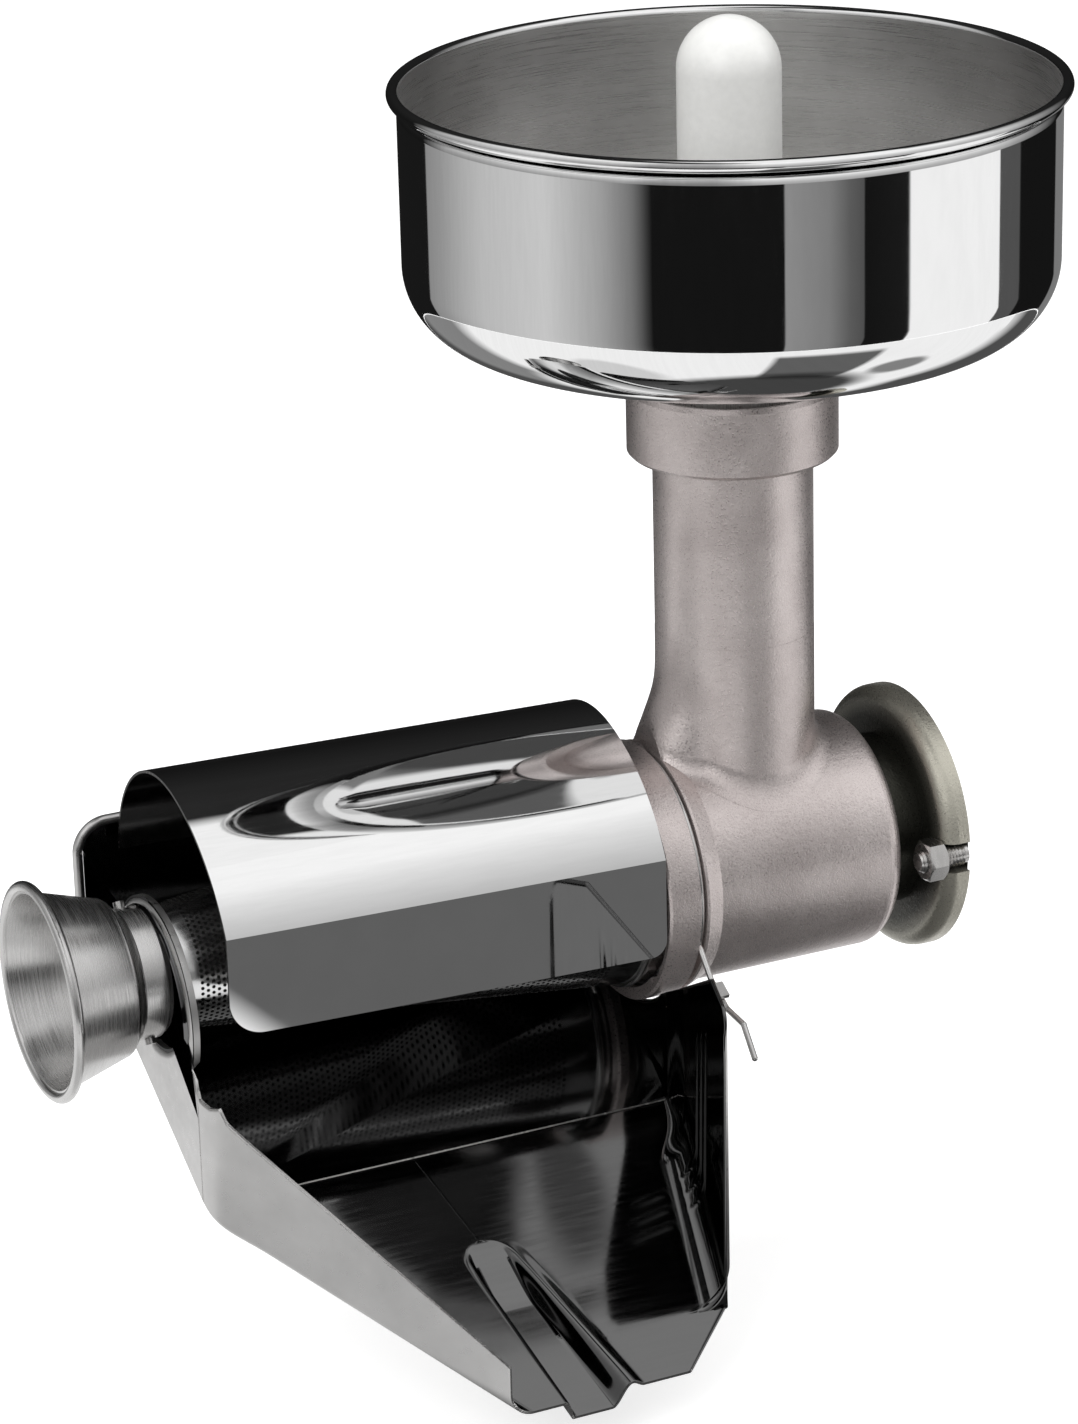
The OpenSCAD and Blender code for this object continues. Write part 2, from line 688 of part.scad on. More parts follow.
// Space between the chute's walls, moved inwards by t and open at the mouth
module chute_block(t) {
    open = t > 0 ? -6 : 0;
    intersection() {
        union() {
            span_x(left_x - 1, right_x + 1) chute_section(t);
            channel(chute_t - t);
        }
        translate([0, 0, -far]) linear_extrude(2 * far)
            polygon(inset_outline(chute_plan, [t, t, open, open, t, t, t]));
    }
}

// What of the floor stays: everything under the inner surface, as far up as the rear wall's foot
module floor_keep() {
    difference() {
        translate([-far, -far]) square([far + rear_y, far]);
        chute_section(chute_t);
    }
}

// Rear wall with its rounded outer corner
module rear_wall_keep() {
    translate([0, rear_y + 1, 0]) rotate([90, 0, 0]) linear_extrude(chute_t + 1) difference() {
        translate([left_x - 1, -40]) square([right_x - left_x + 2, 40 + rear_top]);
        translate([left_x - 1, rear_top - hem_corner]) difference() {
            square([hem_corner + 1, hem_corner + 1]);
            translate([hem_corner + 1, 0]) circle(hem_corner);
        }
    }
}

module juice_chute() {
    color("#a8aaa8") difference() {
        intersection() {
            difference() {
                chute_block(0);
                chute_block(chute_t);
            }
            union() {
                span_x(left_x - 1, lip_x) left_wall_keep();
                span_x(lip_x, right_x + 1) right_wall_keep();
                span_x(left_x - 1, right_x + 1) floor_keep();
                rear_wall_keep();
            }
        }
        span_x(left_x - 1, left_x + chute_t + 1) hanging_hole();
        // round the bayonet ring, in every place the chute can swing to
        along_x(ring_x - seat) cylinder(r = ring_d / 2 + 2 * seat, h = ring_w);
    }
}

// Opening in the left wall: a wide bow in front of the collar, closer to it below
module hanging_hole() {
    r = hang_r - hang_w;
    intersection() {
        translate([0, hang_z]) circle(r);
        union() {
            translate([-hang_r, hang_low]) square([2 * hang_r, 2 * hang_r]);
            circle(tip_d / 2 + hang_play);
        }
    }
}

// Wire in the rear wall's edge: along the top, round the corner and down the left end
module chute_hem() {
    r = hem_d / 2;
    bend = hem_corner;
    x = left_x - r;
    color("#8f9190") translate([0, hinge_y, 0]) {
        translate([0, 0, hinge_z]) along_x(x + bend + r) cylinder(r = r, h = right_x - x - bend - r - 1, $fn = 32);
        translate([x, 0, 0]) cylinder(r = r, h = hinge_z - bend - r, $fn = 32);
        translate([x + bend + r, 0, hinge_z - bend - r]) rotate([90, 0, 0]) intersection() {
            rotate_extrude() translate([bend + r, 0]) circle(r, $fn = 32);
            translate([-bend - hem_d, 0, -hem_d]) cube([bend + hem_d, bend + hem_d, 2 * hem_d]);
        }
    }
}

// A folded ear on the chute's right wall, resting on a leg of the retaining wire
module chute_ears() {
    slope = atan2(leg_out[1] - leg_in[1], leg_out[0] - leg_in[0]);
    mid = (leg_in + leg_out) / 2;
    color("#a2a4a2") for (side = [-1, 1]) intersection() {
        at_side(side) translate([right_x, mid[0], mid[1]]) rotate([slope, 0, 0])
            translate([0, -ear_w / 2, wire_d / 2 + seat]) cube([wire_x + wire_d - right_x, ear_w, 1.5 * chute_t]);
        translate([right_x, -far / 2, -far / 2]) cube(far);
    }
}

// Mirrors a shape drawn at +Y to the front side
module at_side(side) {
    mirror([0, side < 0 ? 1 : 0, 0]) children();
}

// A straight run of wire in the groove's plane, with a ball at its far end
module wire_run(from, to) {
    v = to - from;
    translate([wire_x, from[0], from[1]]) rotate([atan2(v[1], v[0]) - 90, 0, 0])
        cylinder(d = wire_d, h = norm(v), $fn = 24);
    translate([wire_x, to[0], to[1]]) sphere(d = wire_d + 0.1, $fn = 24);
}

// Wire bow over the bayonet ring: its legs carry the chute's ears, the front one ends in a grip
module retaining_wire() {
    r = groove_d / 2 + wire_d / 2 + 0.1;
    leave = 200;
    start = r * [-cos(leave), sin(leave)];
    grip = [leg_out[0] + 12, leg_out[1] - 1];
    tip = grip + [cos(-50), sin(-50)] * (grip_len - 12);
    color("#cfd0cc") {
        along_x(wire_x) rotate(270 - leave) rotate_extrude(angle = 2 * leave - 180)
            translate([r, 0]) circle(d = wire_d, $fn = 24);
        for (side = [-1, 1]) at_side(side) {
            wire_run(start - [0, 0.1], start);
            wire_run(start, leg_in);
            wire_run(leg_in, leg_out);
        }
        at_side(-1) {
            wire_run(leg_out, grip);
            wire_run(grip, tip);
        }
    }
}

// Section of the shield's outside or inside: an arch whose front goes straight down
module shield_section(t) {
    r = shield_r - t;
    depth = shield_drop + shield_z;
    intersection() {
        circle(r);
        translate([-r, 0]) square([2 * r, r]);
    }
    translate([-r, -depth]) square([r, depth]);
}

// Splash shield: an arched sheet whose front hangs down, a little less at the horn's end
module splash_shield() {
    x0 = shield_x - shield_len;
    low = -shield_drop;
    color("#d2d6d6") difference() {
        span_x(x0, shield_x) translate([shield_y, shield_z]) difference() {
            shield_section(0);
            shield_section(shield_t);
            translate([0, -shield_r]) square([2 * shield_r, shield_r + shield_back_z - shield_z]);
        }
        translate([x0, shield_y, low + shield_rise]) rotate([0, atan(shield_rise / shield_len), 0])
            translate([-1, -shield_r - 1, -30]) cube([shield_len + 5, shield_r - 5, 30]);
        corner_cut(x0, low + shield_rise, shield_corner, 1);
        corner_cut(shield_x, low, shield_corner / 2, -1);
    }
}

// Rounds a lower corner of the shield's front; dir points along X into the sheet
module corner_cut(x, z, r, dir) {
    translate([x, shield_y, z]) rotate([90, 0, 0]) linear_extrude(shield_r + 1) difference() {
        translate([dir > 0 ? -1 : -r, -1]) square([r + 1, r + 1]);
        translate([dir * r, r]) circle(r);
    }
}

// Straps on the shield that clip round the chute's hem and let it swing
module shield_straps() {
    gap_r = hem_d / 2 + seat;
    out_r = gap_r + 1;
    color("#b9bcbb") for (x = [shield_x - strap_in, shield_x - shield_len + strap_in]) difference() {
        union() {
            translate([x, hinge_y, hinge_z]) along_x(-strap_w / 2) difference() {
                cylinder(r = out_r, h = strap_w, $fn = 48);
                translate([0, 0, -1]) cylinder(r = gap_r, h = strap_w + 2, $fn = 48);
                // the open side of the strap faces the rear wall, also when the shield stands open
                linear_extrude(strap_w + 2) polygon([[0, 0], [4, -8] * 2, [8, 0] * 2, [6, 6] * 2, [-1, 8] * 2]);
            }
            translate([x - strap_w / 2, shield_y + shield_r - strap_w, hinge_z + gap_r])
                cube([strap_w, hinge_y - shield_y - shield_r + strap_w, 1]);
        }
        translate([x, shield_y, shield_z]) along_x(-strap_w) cylinder(r = shield_r, h = 2 * strap_w);
    }
}

body_casting();
tie_studs();
tie_nut(-1);  // tie_nut_front
tie_nut(1);  // tie_nut_rear
shaft_bush();
thrust_washer();
shaft_seal();
drive_shaft();
auger();
screen_flange();
screen_cone();
screen_bead();
tip_collar();
scraps_horn();
horn_wire_edge();
hopper_bowl();
hopper_spigot();
hopper_rim();
pestle();
pestle_stop();
juice_chute();
chute_hem();
chute_ears();
splash_shield();
shield_straps();
retaining_wire();
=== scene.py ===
import bpy
import bmesh
import numpy as np
from math import radians, sin, cos, tan, pi
from mathutils import Matrix, Vector


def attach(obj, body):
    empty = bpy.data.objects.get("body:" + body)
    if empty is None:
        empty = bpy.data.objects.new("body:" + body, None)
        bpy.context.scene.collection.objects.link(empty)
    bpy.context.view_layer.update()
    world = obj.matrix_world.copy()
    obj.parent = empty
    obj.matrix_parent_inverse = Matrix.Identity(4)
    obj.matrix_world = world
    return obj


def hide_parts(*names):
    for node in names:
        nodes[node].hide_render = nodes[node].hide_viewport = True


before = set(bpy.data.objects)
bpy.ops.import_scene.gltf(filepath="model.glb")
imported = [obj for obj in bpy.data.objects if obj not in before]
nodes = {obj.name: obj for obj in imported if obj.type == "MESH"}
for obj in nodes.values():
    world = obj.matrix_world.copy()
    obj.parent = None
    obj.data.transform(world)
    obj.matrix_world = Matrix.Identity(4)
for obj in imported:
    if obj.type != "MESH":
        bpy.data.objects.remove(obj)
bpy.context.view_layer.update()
print("frame loaded:", len(nodes), "nodes")

mm = 0.001

# camera
camera = {
    "place": (-0.76187, -1.32882, 0.62148),
    "yaw": 25.08, "pitch": 20.82, "roll": -1.48,   # degrees: right of +Y, down, clockwise
    "focalPixels": 4695, "longSide": 1424, "sensor": 36.0,
}


def placeCamera(c):
    # the view axes are turned by yaw about Z, then by pitch, then rolled about the line of sight
    yaw, pitch, roll = (radians(c[k]) for k in ("yaw", "pitch", "roll"))
    ahead = Vector((sin(yaw) * cos(pitch), cos(yaw) * cos(pitch), -sin(pitch)))
    right = Vector((cos(yaw), -sin(yaw), 0))
    up = right.cross(ahead)
    rightRolled = cos(roll) * right + sin(roll) * up
    upRolled = -sin(roll) * right + cos(roll) * up
    data = bpy.data.cameras.new("studioCamera")
    data.sensor_width = c["sensor"]
    data.lens = c["focalPixels"] * c["sensor"] / c["longSide"]
    data.clip_end = 50
    cam = bpy.data.objects.new("studioCamera", data)
    turn = Matrix((rightRolled, upRolled, -ahead)).transposed().to_4x4()
    cam.matrix_world = Matrix.Translation(Vector(c["place"])) @ turn
    bpy.context.scene.collection.objects.link(cam)
    bpy.context.scene.camera = cam
    return cam


placeCamera(camera)
print("camera placed")


# small helpers for materials
def newMaterial(name):
    mat = bpy.data.materials.new(name)
    mat.use_nodes = True
    tree = mat.node_tree
    shader = tree.nodes["Principled BSDF"]
    return mat, tree, shader


def addNode(tree, kind, **values):
    node = tree.nodes.new(kind)
    for key, value in values.items():
        if key in node.inputs:
            node.inputs[key].default_value = value
        else:
            setattr(node, key, value)
    return node


def objectCoords(tree, scale=(1, 1, 1), turn=(0, 0, 0), move=(0, 0, 0)):
    coords = addNode(tree, "ShaderNodeTexCoord")
    mapping = addNode(tree, "ShaderNodeMapping")
    mapping.inputs["Scale"].default_value = scale
    mapping.inputs["Rotation"].default_value = turn
    mapping.inputs["Location"].default_value = move
    tree.links.new(coords.outputs["Object"], mapping.inputs["Vector"])
    return mapping.outputs["Vector"]


def noise(tree, vector, scale, detail=4.0, rough=0.55):
    n = addNode(tree, "ShaderNodeTexNoise", Scale=scale, Detail=detail, Roughness=rough)
    tree.links.new(vector, n.inputs["Vector"])
    return n.outputs["Fac"]


def ramp(tree, value, stops):
    r = addNode(tree, "ShaderNodeValToRGB")
    band = r.color_ramp
    while len(band.elements) < len(stops):
        band.elements.new(0.5)
    for element, (at, colour) in zip(band.elements, stops):
        element.position = at
        element.color = (*colour, 1) if len(colour) == 3 else colour
    tree.links.new(value, r.inputs["Fac"])
    return r.outputs["Color"]


def spread(tree, value, low, high, fromLow=0.3, fromHigh=0.7):
    m = addNode(tree, "ShaderNodeMapRange")
    m.inputs["From Min"].default_value = fromLow
    m.inputs["From Max"].default_value = fromHigh
    m.inputs["To Min"].default_value = low
    m.inputs["To Max"].default_value = high
    tree.links.new(value, m.inputs["Value"])
    return m.outputs["Result"]


def bump(tree, shader, heights):
    # heights: (value, distance in metres, strength), stacked one on the other
    last = None
    for value, distance, strength in heights:
        b = addNode(tree, "ShaderNodeBump", Strength=strength, Distance=distance)
        tree.links.new(value, b.inputs["Height"])
        if last is not None:
            tree.links.new(last, b.inputs["Normal"])
        last = b.outputs["Normal"]
    tree.links.new(last, shader.inputs["Normal"])


def grey(v, warm=0.0):
    return (v * (1 + warm), v, v * (1 - warm))


def partOf(tree, colourA, colourB, share):
    # colourA where share is 0, colourB where it is 1
    m = addNode(tree, "ShaderNodeMix", data_type="RGBA")
    for socket, value in (("A", colourA), ("B", colourB)):
        socket = [i for i in m.inputs if i.name == socket and i.type == "RGBA"][0]
        if isinstance(value, tuple):
            socket.default_value = (*value, 1)
        else:
            tree.links.new(value, socket)
    tree.links.new(share, m.inputs[0])
    return [o for o in m.outputs if o.type == "RGBA"][0]


# cast and satin-sprayed body: fine sand grain, sparkling in places
castLook = {
    "dark": (0.47, 0.415, 0.405), "light": (0.70, 0.635, 0.62), "rough": (0.24, 0.40), "metallic": 0.85,
    "grain": 1500, "patch": 45, "pits": 520, "pitBump": (0.0003, 0.3), "grainBump": (0.0002, 0.45),
    "flangeX": -0.0218, "darkR": 0.036, "rimR": 0.0462,                # metres
    # the flange's dark front and hub are painted shade; its bright rim is partly bare metal and partly a
    # painted highlight
    "flangeShade": (0.045, 0.045, 0.037), "flangeRimHighlight": (0.52, 0.50, 0.43), "halfLitAt": 0.55, "halfLitShare": 0.35,
}


def castMetal():
    mat, tree, shader = newMaterial("castMetal")
    at = objectCoords(tree)
    patch = noise(tree, at, castLook["patch"], 3)
    grain = noise(tree, at, castLook["grain"], 2, 0.6)
    pits = noise(tree, at, castLook["pits"], 3, 0.5)
    mix = addNode(tree, "ShaderNodeMath", operation="ADD")
    tree.links.new(spread(tree, patch, 0, 0.6), mix.inputs[0])
    tree.links.new(spread(tree, grain, 0, 0.4), mix.inputs[1])
    cast = ramp(tree, mix.outputs[0], [(0.0, castLook["dark"]), (1.0, castLook["light"])])
    # the flange is steel; its colour is painted: dark in front and over the hub as painted shade, brightening
    # towards the rim, partly its bare metal and partly a painted highlight
    split = addNode(tree, "ShaderNodeSeparateXYZ")
    tree.links.new(at, split.inputs[0])
    radius = addNode(tree, "ShaderNodeVectorMath", operation="LENGTH")
    flat = addNode(tree, "ShaderNodeVectorMath", operation="MULTIPLY")
    flat.inputs[1].default_value = (0, 1, 1)
    tree.links.new(at, flat.inputs[0])
    tree.links.new(flat.outputs[0], radius.inputs[0])
    onRim = spread(tree, radius.outputs["Value"], 0, 1, castLook["darkR"], castLook["rimR"])
    rim = castLook["flangeRimHighlight"]
    halfLit = tuple(castLook["halfLitShare"] * c for c in rim)
    flange = ramp(tree, onRim, [(0.0, castLook["flangeShade"]), (castLook["halfLitAt"], halfLit), (1.0, rim)])
    isFlange = addNode(tree, "ShaderNodeMath", operation="GREATER_THAN")
    tree.links.new(split.outputs["X"], isFlange.inputs[0])
    isFlange.inputs[1].default_value = castLook["flangeX"]
    tree.links.new(partOf(tree, cast, flange, isFlange.outputs[0]), shader.inputs["Base Color"])
    shader.inputs["Metallic"].default_value = castLook["metallic"]
    tree.links.new(spread(tree, grain, *castLook["rough"]), shader.inputs["Roughness"])
    bump(tree, shader, [(pits, *castLook["pitBump"]), (grain, *castLook["grainBump"])])
    return mat


# turned or brushed steel: fine lines run round an axis or along it
def brushedSteel(name, colour=0.62, rough=(0.22, 0.34), lines=(30, 30, 2500), strength=0.15, warm=0.01):
    mat, tree, shader = newMaterial(name)
    fine = noise(tree, objectCoords(tree, lines), 1.0, 3, 0.6)
    patch = noise(tree, objectCoords(tree), 45, 3)
    tones = [(0.3, grey(colour * 0.86, warm)), (0.7, grey(colour, warm))]
    tree.links.new(ramp(tree, patch, tones), shader.inputs["Base Color"])
    shader.inputs["Metallic"].default_value = 1.0
    tree.links.new(spread(tree, fine, *rough), shader.inputs["Roughness"])
    bump(tree, shader, [(fine, 0.00005, strength)])
    return mat


# polished sheet: nearly a mirror, with a faint cloud in its gloss and hair-fine wiping marks
def mirrorSteel(name, colour=0.86, rough=(0.02, 0.05), wave=0.06, grazing=1.0):
    mat, tree, shader = newMaterial(name)
    cloud = noise(tree, objectCoords(tree), 14, 2)
    marks = noise(tree, objectCoords(tree, (60, 900, 60), (0, 0, 0.3)), 1.0, 2)
    tones = [(0.35, grey(colour * 0.97)), (0.65, grey(colour))]
    tree.links.new(ramp(tree, marks, tones), shader.inputs["Base Color"])
    shader.inputs["Metallic"].default_value = 1.0
    shader.inputs["Specular Tint"].default_value = (*grey(grazing), 1)
    tree.links.new(spread(tree, marks, *rough), shader.inputs["Roughness"])
    bump(tree, shader, [(cloud, 0.0006, wave)])
    return mat


def plainPlastic(name, colour, rough=0.35, grain=400):
    mat, tree, shader = newMaterial(name)
    speckle = noise(tree, objectCoords(tree), grain, 3)
    tones = [(0.3, tuple(c * 0.95 for c in colour)), (0.7, colour)]
    tree.links.new(ramp(tree, speckle, tones), shader.inputs["Base Color"])
    tree.links.new(spread(tree, speckle, rough - 0.05, rough + 0.08), shader.inputs["Roughness"])
    bump(tree, shader, [(speckle, 0.0001, 0.15)])
    return mat


finishes = {
    "cast": castMetal(),
    "turned": brushedSteel("turnedSteel", 0.55, (0.22, 0.36), (3000, 40, 40), 0.2),
    "zinc": brushedSteel("zincPlate", 0.66, (0.18, 0.3), (900, 200, 200), 0.2, 0.02),
    "bronze": brushedSteel("turnedBronze", 0.5, (0.3, 0.4), (3000, 40, 40), 0.2, 0.25),
    "hornSteel": brushedSteel("spunSteel", 0.62, (0.2, 0.34), (2600, 60, 60), 0.2),
    "screenSteel": mirrorSteel("screenSteel", 0.75, (0.10, 0.18)),
    "holeShade": brushedSteel("holeShade", 0.02, (0.4, 0.5), (300, 300, 300), 0.05),
    "bowlOut": mirrorSteel("polishedBowl"),
    "bowlIn": brushedSteel("brushedBowl", 0.60, (0.24, 0.34), (30, 30, 2200), 0.2, 0.01),
    "shieldInside": brushedSteel("shieldInside", 0.55, (0.10, 0.16), (300, 300, 300), 0.05),
    "chuteEdge": brushedSteel("chuteEdge", 0.85, (0.2, 0.3), (500, 500, 500), 0.1),
    # the shield's cut edge is darkened as painted shade, where the bare steel edge would catch the floor's
    # light
    "cutEdgeShaded": brushedSteel("cutEdgeShaded", 0.16, (0.2, 0.3), (500, 500, 500), 0.1),
    "shieldSteel": mirrorSteel("polishedShield"),
    "chuteSteel": brushedSteel("satinSheet", 0.57, (0.26, 0.36), (300, 300, 300), 0.1),
    # the chute's inside is painted shade: its dark colour and weak grazing gloss stand in for the dark
    # surroundings it reflects
    "chuteInsideShaded": mirrorSteel("chuteInsideShaded", 0.16, (0.05, 0.10), 0.12, 0.3),
    "wireSteel": brushedSteel("drawnWire", 0.66, (0.16, 0.26), (400, 400, 400), 0.1),
    "pestleWhite": plainPlastic("whitePlastic", (0.86, 0.86, 0.84)),
    "augerWhite": plainPlastic("augerPlastic", (0.78, 0.76, 0.7), 0.4),
    "sealRubber": plainPlastic("sealRubber", (0.03, 0.03, 0.03), 0.6),
}
nodeFinish = {
    "body_casting": "cast", "tie_studs": "zinc", "tie_nut_front": "zinc", "tie_nut_rear": "zinc",
    "shaft_bush": "bronze", "thrust_washer": "augerWhite", "shaft_seal": "sealRubber",
    "drive_shaft": "turned", "auger": "augerWhite", "screen_flange": "turned",
    "screen_cone": "screenSteel", "screen_bead": "turned", "tip_collar": "turned",
    "scraps_horn": "hornSteel", "horn_wire_edge": "hornSteel",
    "hopper_bowl": "bowlOut", "hopper_spigot": "turned", "hopper_rim": "bowlOut",
    "pestle": "pestleWhite", "pestle_stop": "pestleWhite",
    "juice_chute": "chuteSteel", "chute_hem": "chuteSteel", "chute_ears": "chuteSteel",
    "splash_shield": "shieldSteel", "shield_straps": "chuteSteel", "retaining_wire": "wireSteel",
}
for name, finish in nodeFinish.items():
    mesh = nodes[name].data
    mesh.materials.clear()
    mesh.materials.append(finishes[finish])
print("finishes made:", len(finishes))


# helpers for pieces: grids of points from functions of two parameters
def gridFaces(rows, cols, ringed=False, first=0):
    # quads between rows of cols points; ringed joins the last column to the first
    r = np.arange(rows - 1)[:, None]
    c = np.arange(cols if ringed else cols - 1)[None, :]
    d = (c + 1) % cols
    corners = r * cols + c, r * cols + d, (r + 1) * cols + d, (r + 1) * cols + c
    return np.stack(np.broadcast_arrays(*corners), -1).reshape(-1, 4) + first


def sheetFaces(rows, cols):
    # a sheet of two grids, the second one's points after the first one's: outside, inside turned over, and
    # the strips that join their borders; with each face goes its side: 0 outside, 1 inside, 2 border
    top, last = rows * cols, (rows - 1) * cols
    along, up = np.arange(cols - 1), np.arange(rows - 1) * cols
    parts = [gridFaces(rows, cols),
             gridFaces(rows, cols, first=top)[:, ::-1],
             np.stack([along + 1, along, along + top, along + 1 + top], -1),
             np.stack([last + along, last + along + 1, last + along + 1 + top, last + along + top], -1),
             np.stack([up, up + cols, up + cols + top, up + top], -1),
             np.stack([up + 2 * cols - 1, up + cols - 1, up + cols - 1 + top, up + 2 * cols - 1 + top], -1)]
    return np.concatenate(parts), np.repeat((0, 1, 2, 2, 2, 2), [len(part) for part in parts])


def makePiece(name, points, faces, materials, body, faceSlots=None):
    mesh = bpy.data.meshes.new(name)
    mesh.from_pydata((np.asarray(points) * mm).tolist(), [], np.asarray(faces).tolist())
    for material in materials:
        mesh.materials.append(finishes[material])
    if faceSlots is not None:
        mesh.polygons.foreach_set("material_index", np.asarray(faceSlots, dtype=np.int32))
    mesh.polygons.foreach_set("use_smooth", np.ones(len(mesh.polygons), dtype=bool))
    mesh.update()
    piece = bpy.data.objects.new(name, mesh)
    bpy.context.scene.collection.objects.link(piece)
    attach(piece, body)
    return piece


def arcPoints(cx, cy, r, start, end, steps):
    a = np.radians(np.linspace(start, end, steps))
    return np.stack([cx + r * np.cos(a), cy + r * np.sin(a)], -1)


def lathe(profile, axisX, steps):
    # profile (r, z) turned about the vertical line x = axisX: x = axisX + r cos a, y = r sin a, z
    a = np.linspace(0, 2 * pi, steps, endpoint=False)
    r, z = profile[:, 0][:, None], profile[:, 1][:, None]
    rings = np.stack([axisX + r * np.cos(a), r * np.sin(a), z + 0 * a], -1)
    return rings.reshape(-1, 3)


# hopper: polished outside, brushed inside, rim rolled outwards
hopper = {"x": -66.0, "wallR": 108.5, "rimZ": 268.5, "wallH": 57.0, "corner": 25.0, "slope": 14.5,
          "throatR": 30.5, "sheet": 1.0, "bead": 2.1, "beadTuck": 1.2, "beadStart": -125, "steps": 288}


def hopperProfile(h, inset):
    # outside of the bowl from the throat up to the rim, moved inwards by inset
    cornerZ = h["rimZ"] - h["wallH"]
    arc = arcPoints(h["wallR"] - h["corner"], cornerZ, h["corner"] - inset, h["slope"] - 90, 0, 26)
    throatZ = arc[0][1] - (arc[0][0] - h["throatR"]) * tan(radians(h["slope"]))
    bottom = np.linspace((h["throatR"], throatZ), arc[0], 14)[:-1]
    wall = np.linspace(arc[-1], (h["wallR"] - inset, h["rimZ"]), 10)[1:]
    return np.concatenate([bottom, arc, wall])


def buildHopper(h):
    beadR = h["wallR"] + h["bead"] - h["sheet"]
    outside = hopperProfile(h, 0.0)
    inside = hopperProfile(h, h["sheet"])[::-1]
    outside[-1][1] -= h["beadTuck"]       # the bead's underside is tucked against the wall
    bead = arcPoints(beadR, h["rimZ"], h["bead"], h["beadStart"], 180, 26)
    profile = np.concatenate([outside, bead, inside[1:]])
    n, steps = len(profile), h["steps"]
    points = lathe(profile, h["x"], steps)
    here, last = np.arange(steps), (n - 1) * steps
    beside = (here + 1) % steps
    closing = np.stack([here + last, beside + last, beside, here], -1)
    faces = np.concatenate([gridFaces(n, steps, True), closing])
    row = np.minimum(np.arange(len(faces)) // steps, n - 1)
    slots = np.where(row < len(outside) + len(bead) - 1, 0, 1)
    piece = makePiece("hopperShell", points, faces, ["bowlOut", "bowlIn"], "hopper", slots)
    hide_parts("hopper_bowl", "hopper_rim")
    return piece


buildHopper(hopper)

# splash shield: a polished sheet, arched over the screen; its front hangs straight down from a crease
shield = {
    "x0": -272.0, "x1": -115.0, "frontY": -43.0, "creaseZ": 24.5, "creaseTurn": 25.0, "frontR": 65.8,
    "meetTurn": 75.0, "backR": 43.4, "backTurn": 176.0, "dip": 4.0, "sheet": 0.9, "low": -14.0, "rise": 4.5,
    "cornerLeft": 12.0, "cornerRight": 6.0, "cols": 121, "planeRows": 24, "frontRows": 50, "backRows": 56,
    "sharp": 18,                                                        # degrees
}


def shieldSection(s, low, inset):
    # plane from the lower edge up to the crease, a flat arc over the front, a tighter one down to the back;
    # on an arc y = centre - r cos a and z = centre + r sin a, and where two meet they share a direction
    crease, meet = radians(s["creaseTurn"]), radians(s["meetTurn"])
    frontMid = (s["frontY"] + s["frontR"] * cos(crease), s["creaseZ"] - s["frontR"] * sin(crease))
    shift = s["frontR"] - s["backR"]
    backMid = (frontMid[0] - shift * cos(meet), frontMid[1] + shift * sin(meet))
    t = np.linspace(0, 1, s["planeRows"], endpoint=False)[:, None]
    top = s["creaseZ"] - inset * sin(crease)
    y = [np.broadcast_to(s["frontY"] + inset, (len(t), len(low)))]
    z = [low + (top - low) * t]
    arcs = ((frontMid, s["frontR"] - inset, np.linspace(crease, meet, s["frontRows"], endpoint=False)),
            (backMid, s["backR"] - inset, np.linspace(meet, radians(s["backTurn"]), s["backRows"])))
    for (midY, midZ), r, turns in arcs:
        a = turns[:, None] + 0 * low
        y.append(midY - r * np.cos(a))
        z.append(midZ + r * np.sin(a))
    return np.concatenate(y), np.concatenate(z)


def buildShield(s):
    # a section at each x, closer together near the ends; the lower corners are cut as quarter circles
    x = s["x0"] + (s["x1"] - s["x0"]) * (1 - np.cos(np.linspace(0, pi, s["cols"]))) / 2
    share = (x - s["x0"]) / (s["x1"] - s["x0"])
    low = s["low"] + s["rise"] * (1 - share) + s["dip"] * share
    for gap, r in ((x - s["x0"], s["cornerLeft"]), (s["x1"] - x, s["cornerRight"])):
        near = np.clip(r - gap, 0, r)
        low = low + r - np.sqrt(r * r - near * near)
    sheets = []
    for inset in (0.0, s["sheet"]):
        y, z = shieldSection(s, low, inset)
        z = z - s["dip"] * share               # the whole shield dips towards the body
        sheets.append(np.stack([np.broadcast_to(x, y.shape), y, z], -1).reshape(-1, 3))
    faces, slots = sheetFaces(*y.shape)
    looks = ["shieldSteel", "shieldInside", "cutEdgeShaded"]
    piece = makePiece("shieldSheet", np.concatenate(sheets), faces, looks, "shield", slots)
    piece.data.set_sharp_from_angle(angle=radians(s["sharp"]))
    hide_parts("splash_shield")
    return piece


buildShield(shield)
print("hopper and shield built")

# perforated cone: rows of small round holes, each second row moved by half a pitch
screen = {"wideX": -110.7, "tipX": -278.7, "wideR": 38.5, "tipR": 20.75, "bandLen": 19.0, "tipBand": 5.0,
          "pitch": 2.1, "hole": 1.3, "bands": 6, "depth": 0.7, "shadeSheetGap": 0.02, "steps": 144, "sharp": 40}


def conePoint(s, x, a, inset=0.0):
    # radius falls evenly from the wide end to the tip: r = tipR + (wideR - tipR)(x - tipX) / (wideX - tipX)
    k = (s["wideR"] - s["tipR"]) / (s["wideX"] - s["tipX"])
    r = s["tipR"] + k * (x - s["tipX"]) - inset
    return np.stack([x + 0 * r, r * np.sin(a), r * np.cos(a)], -1)


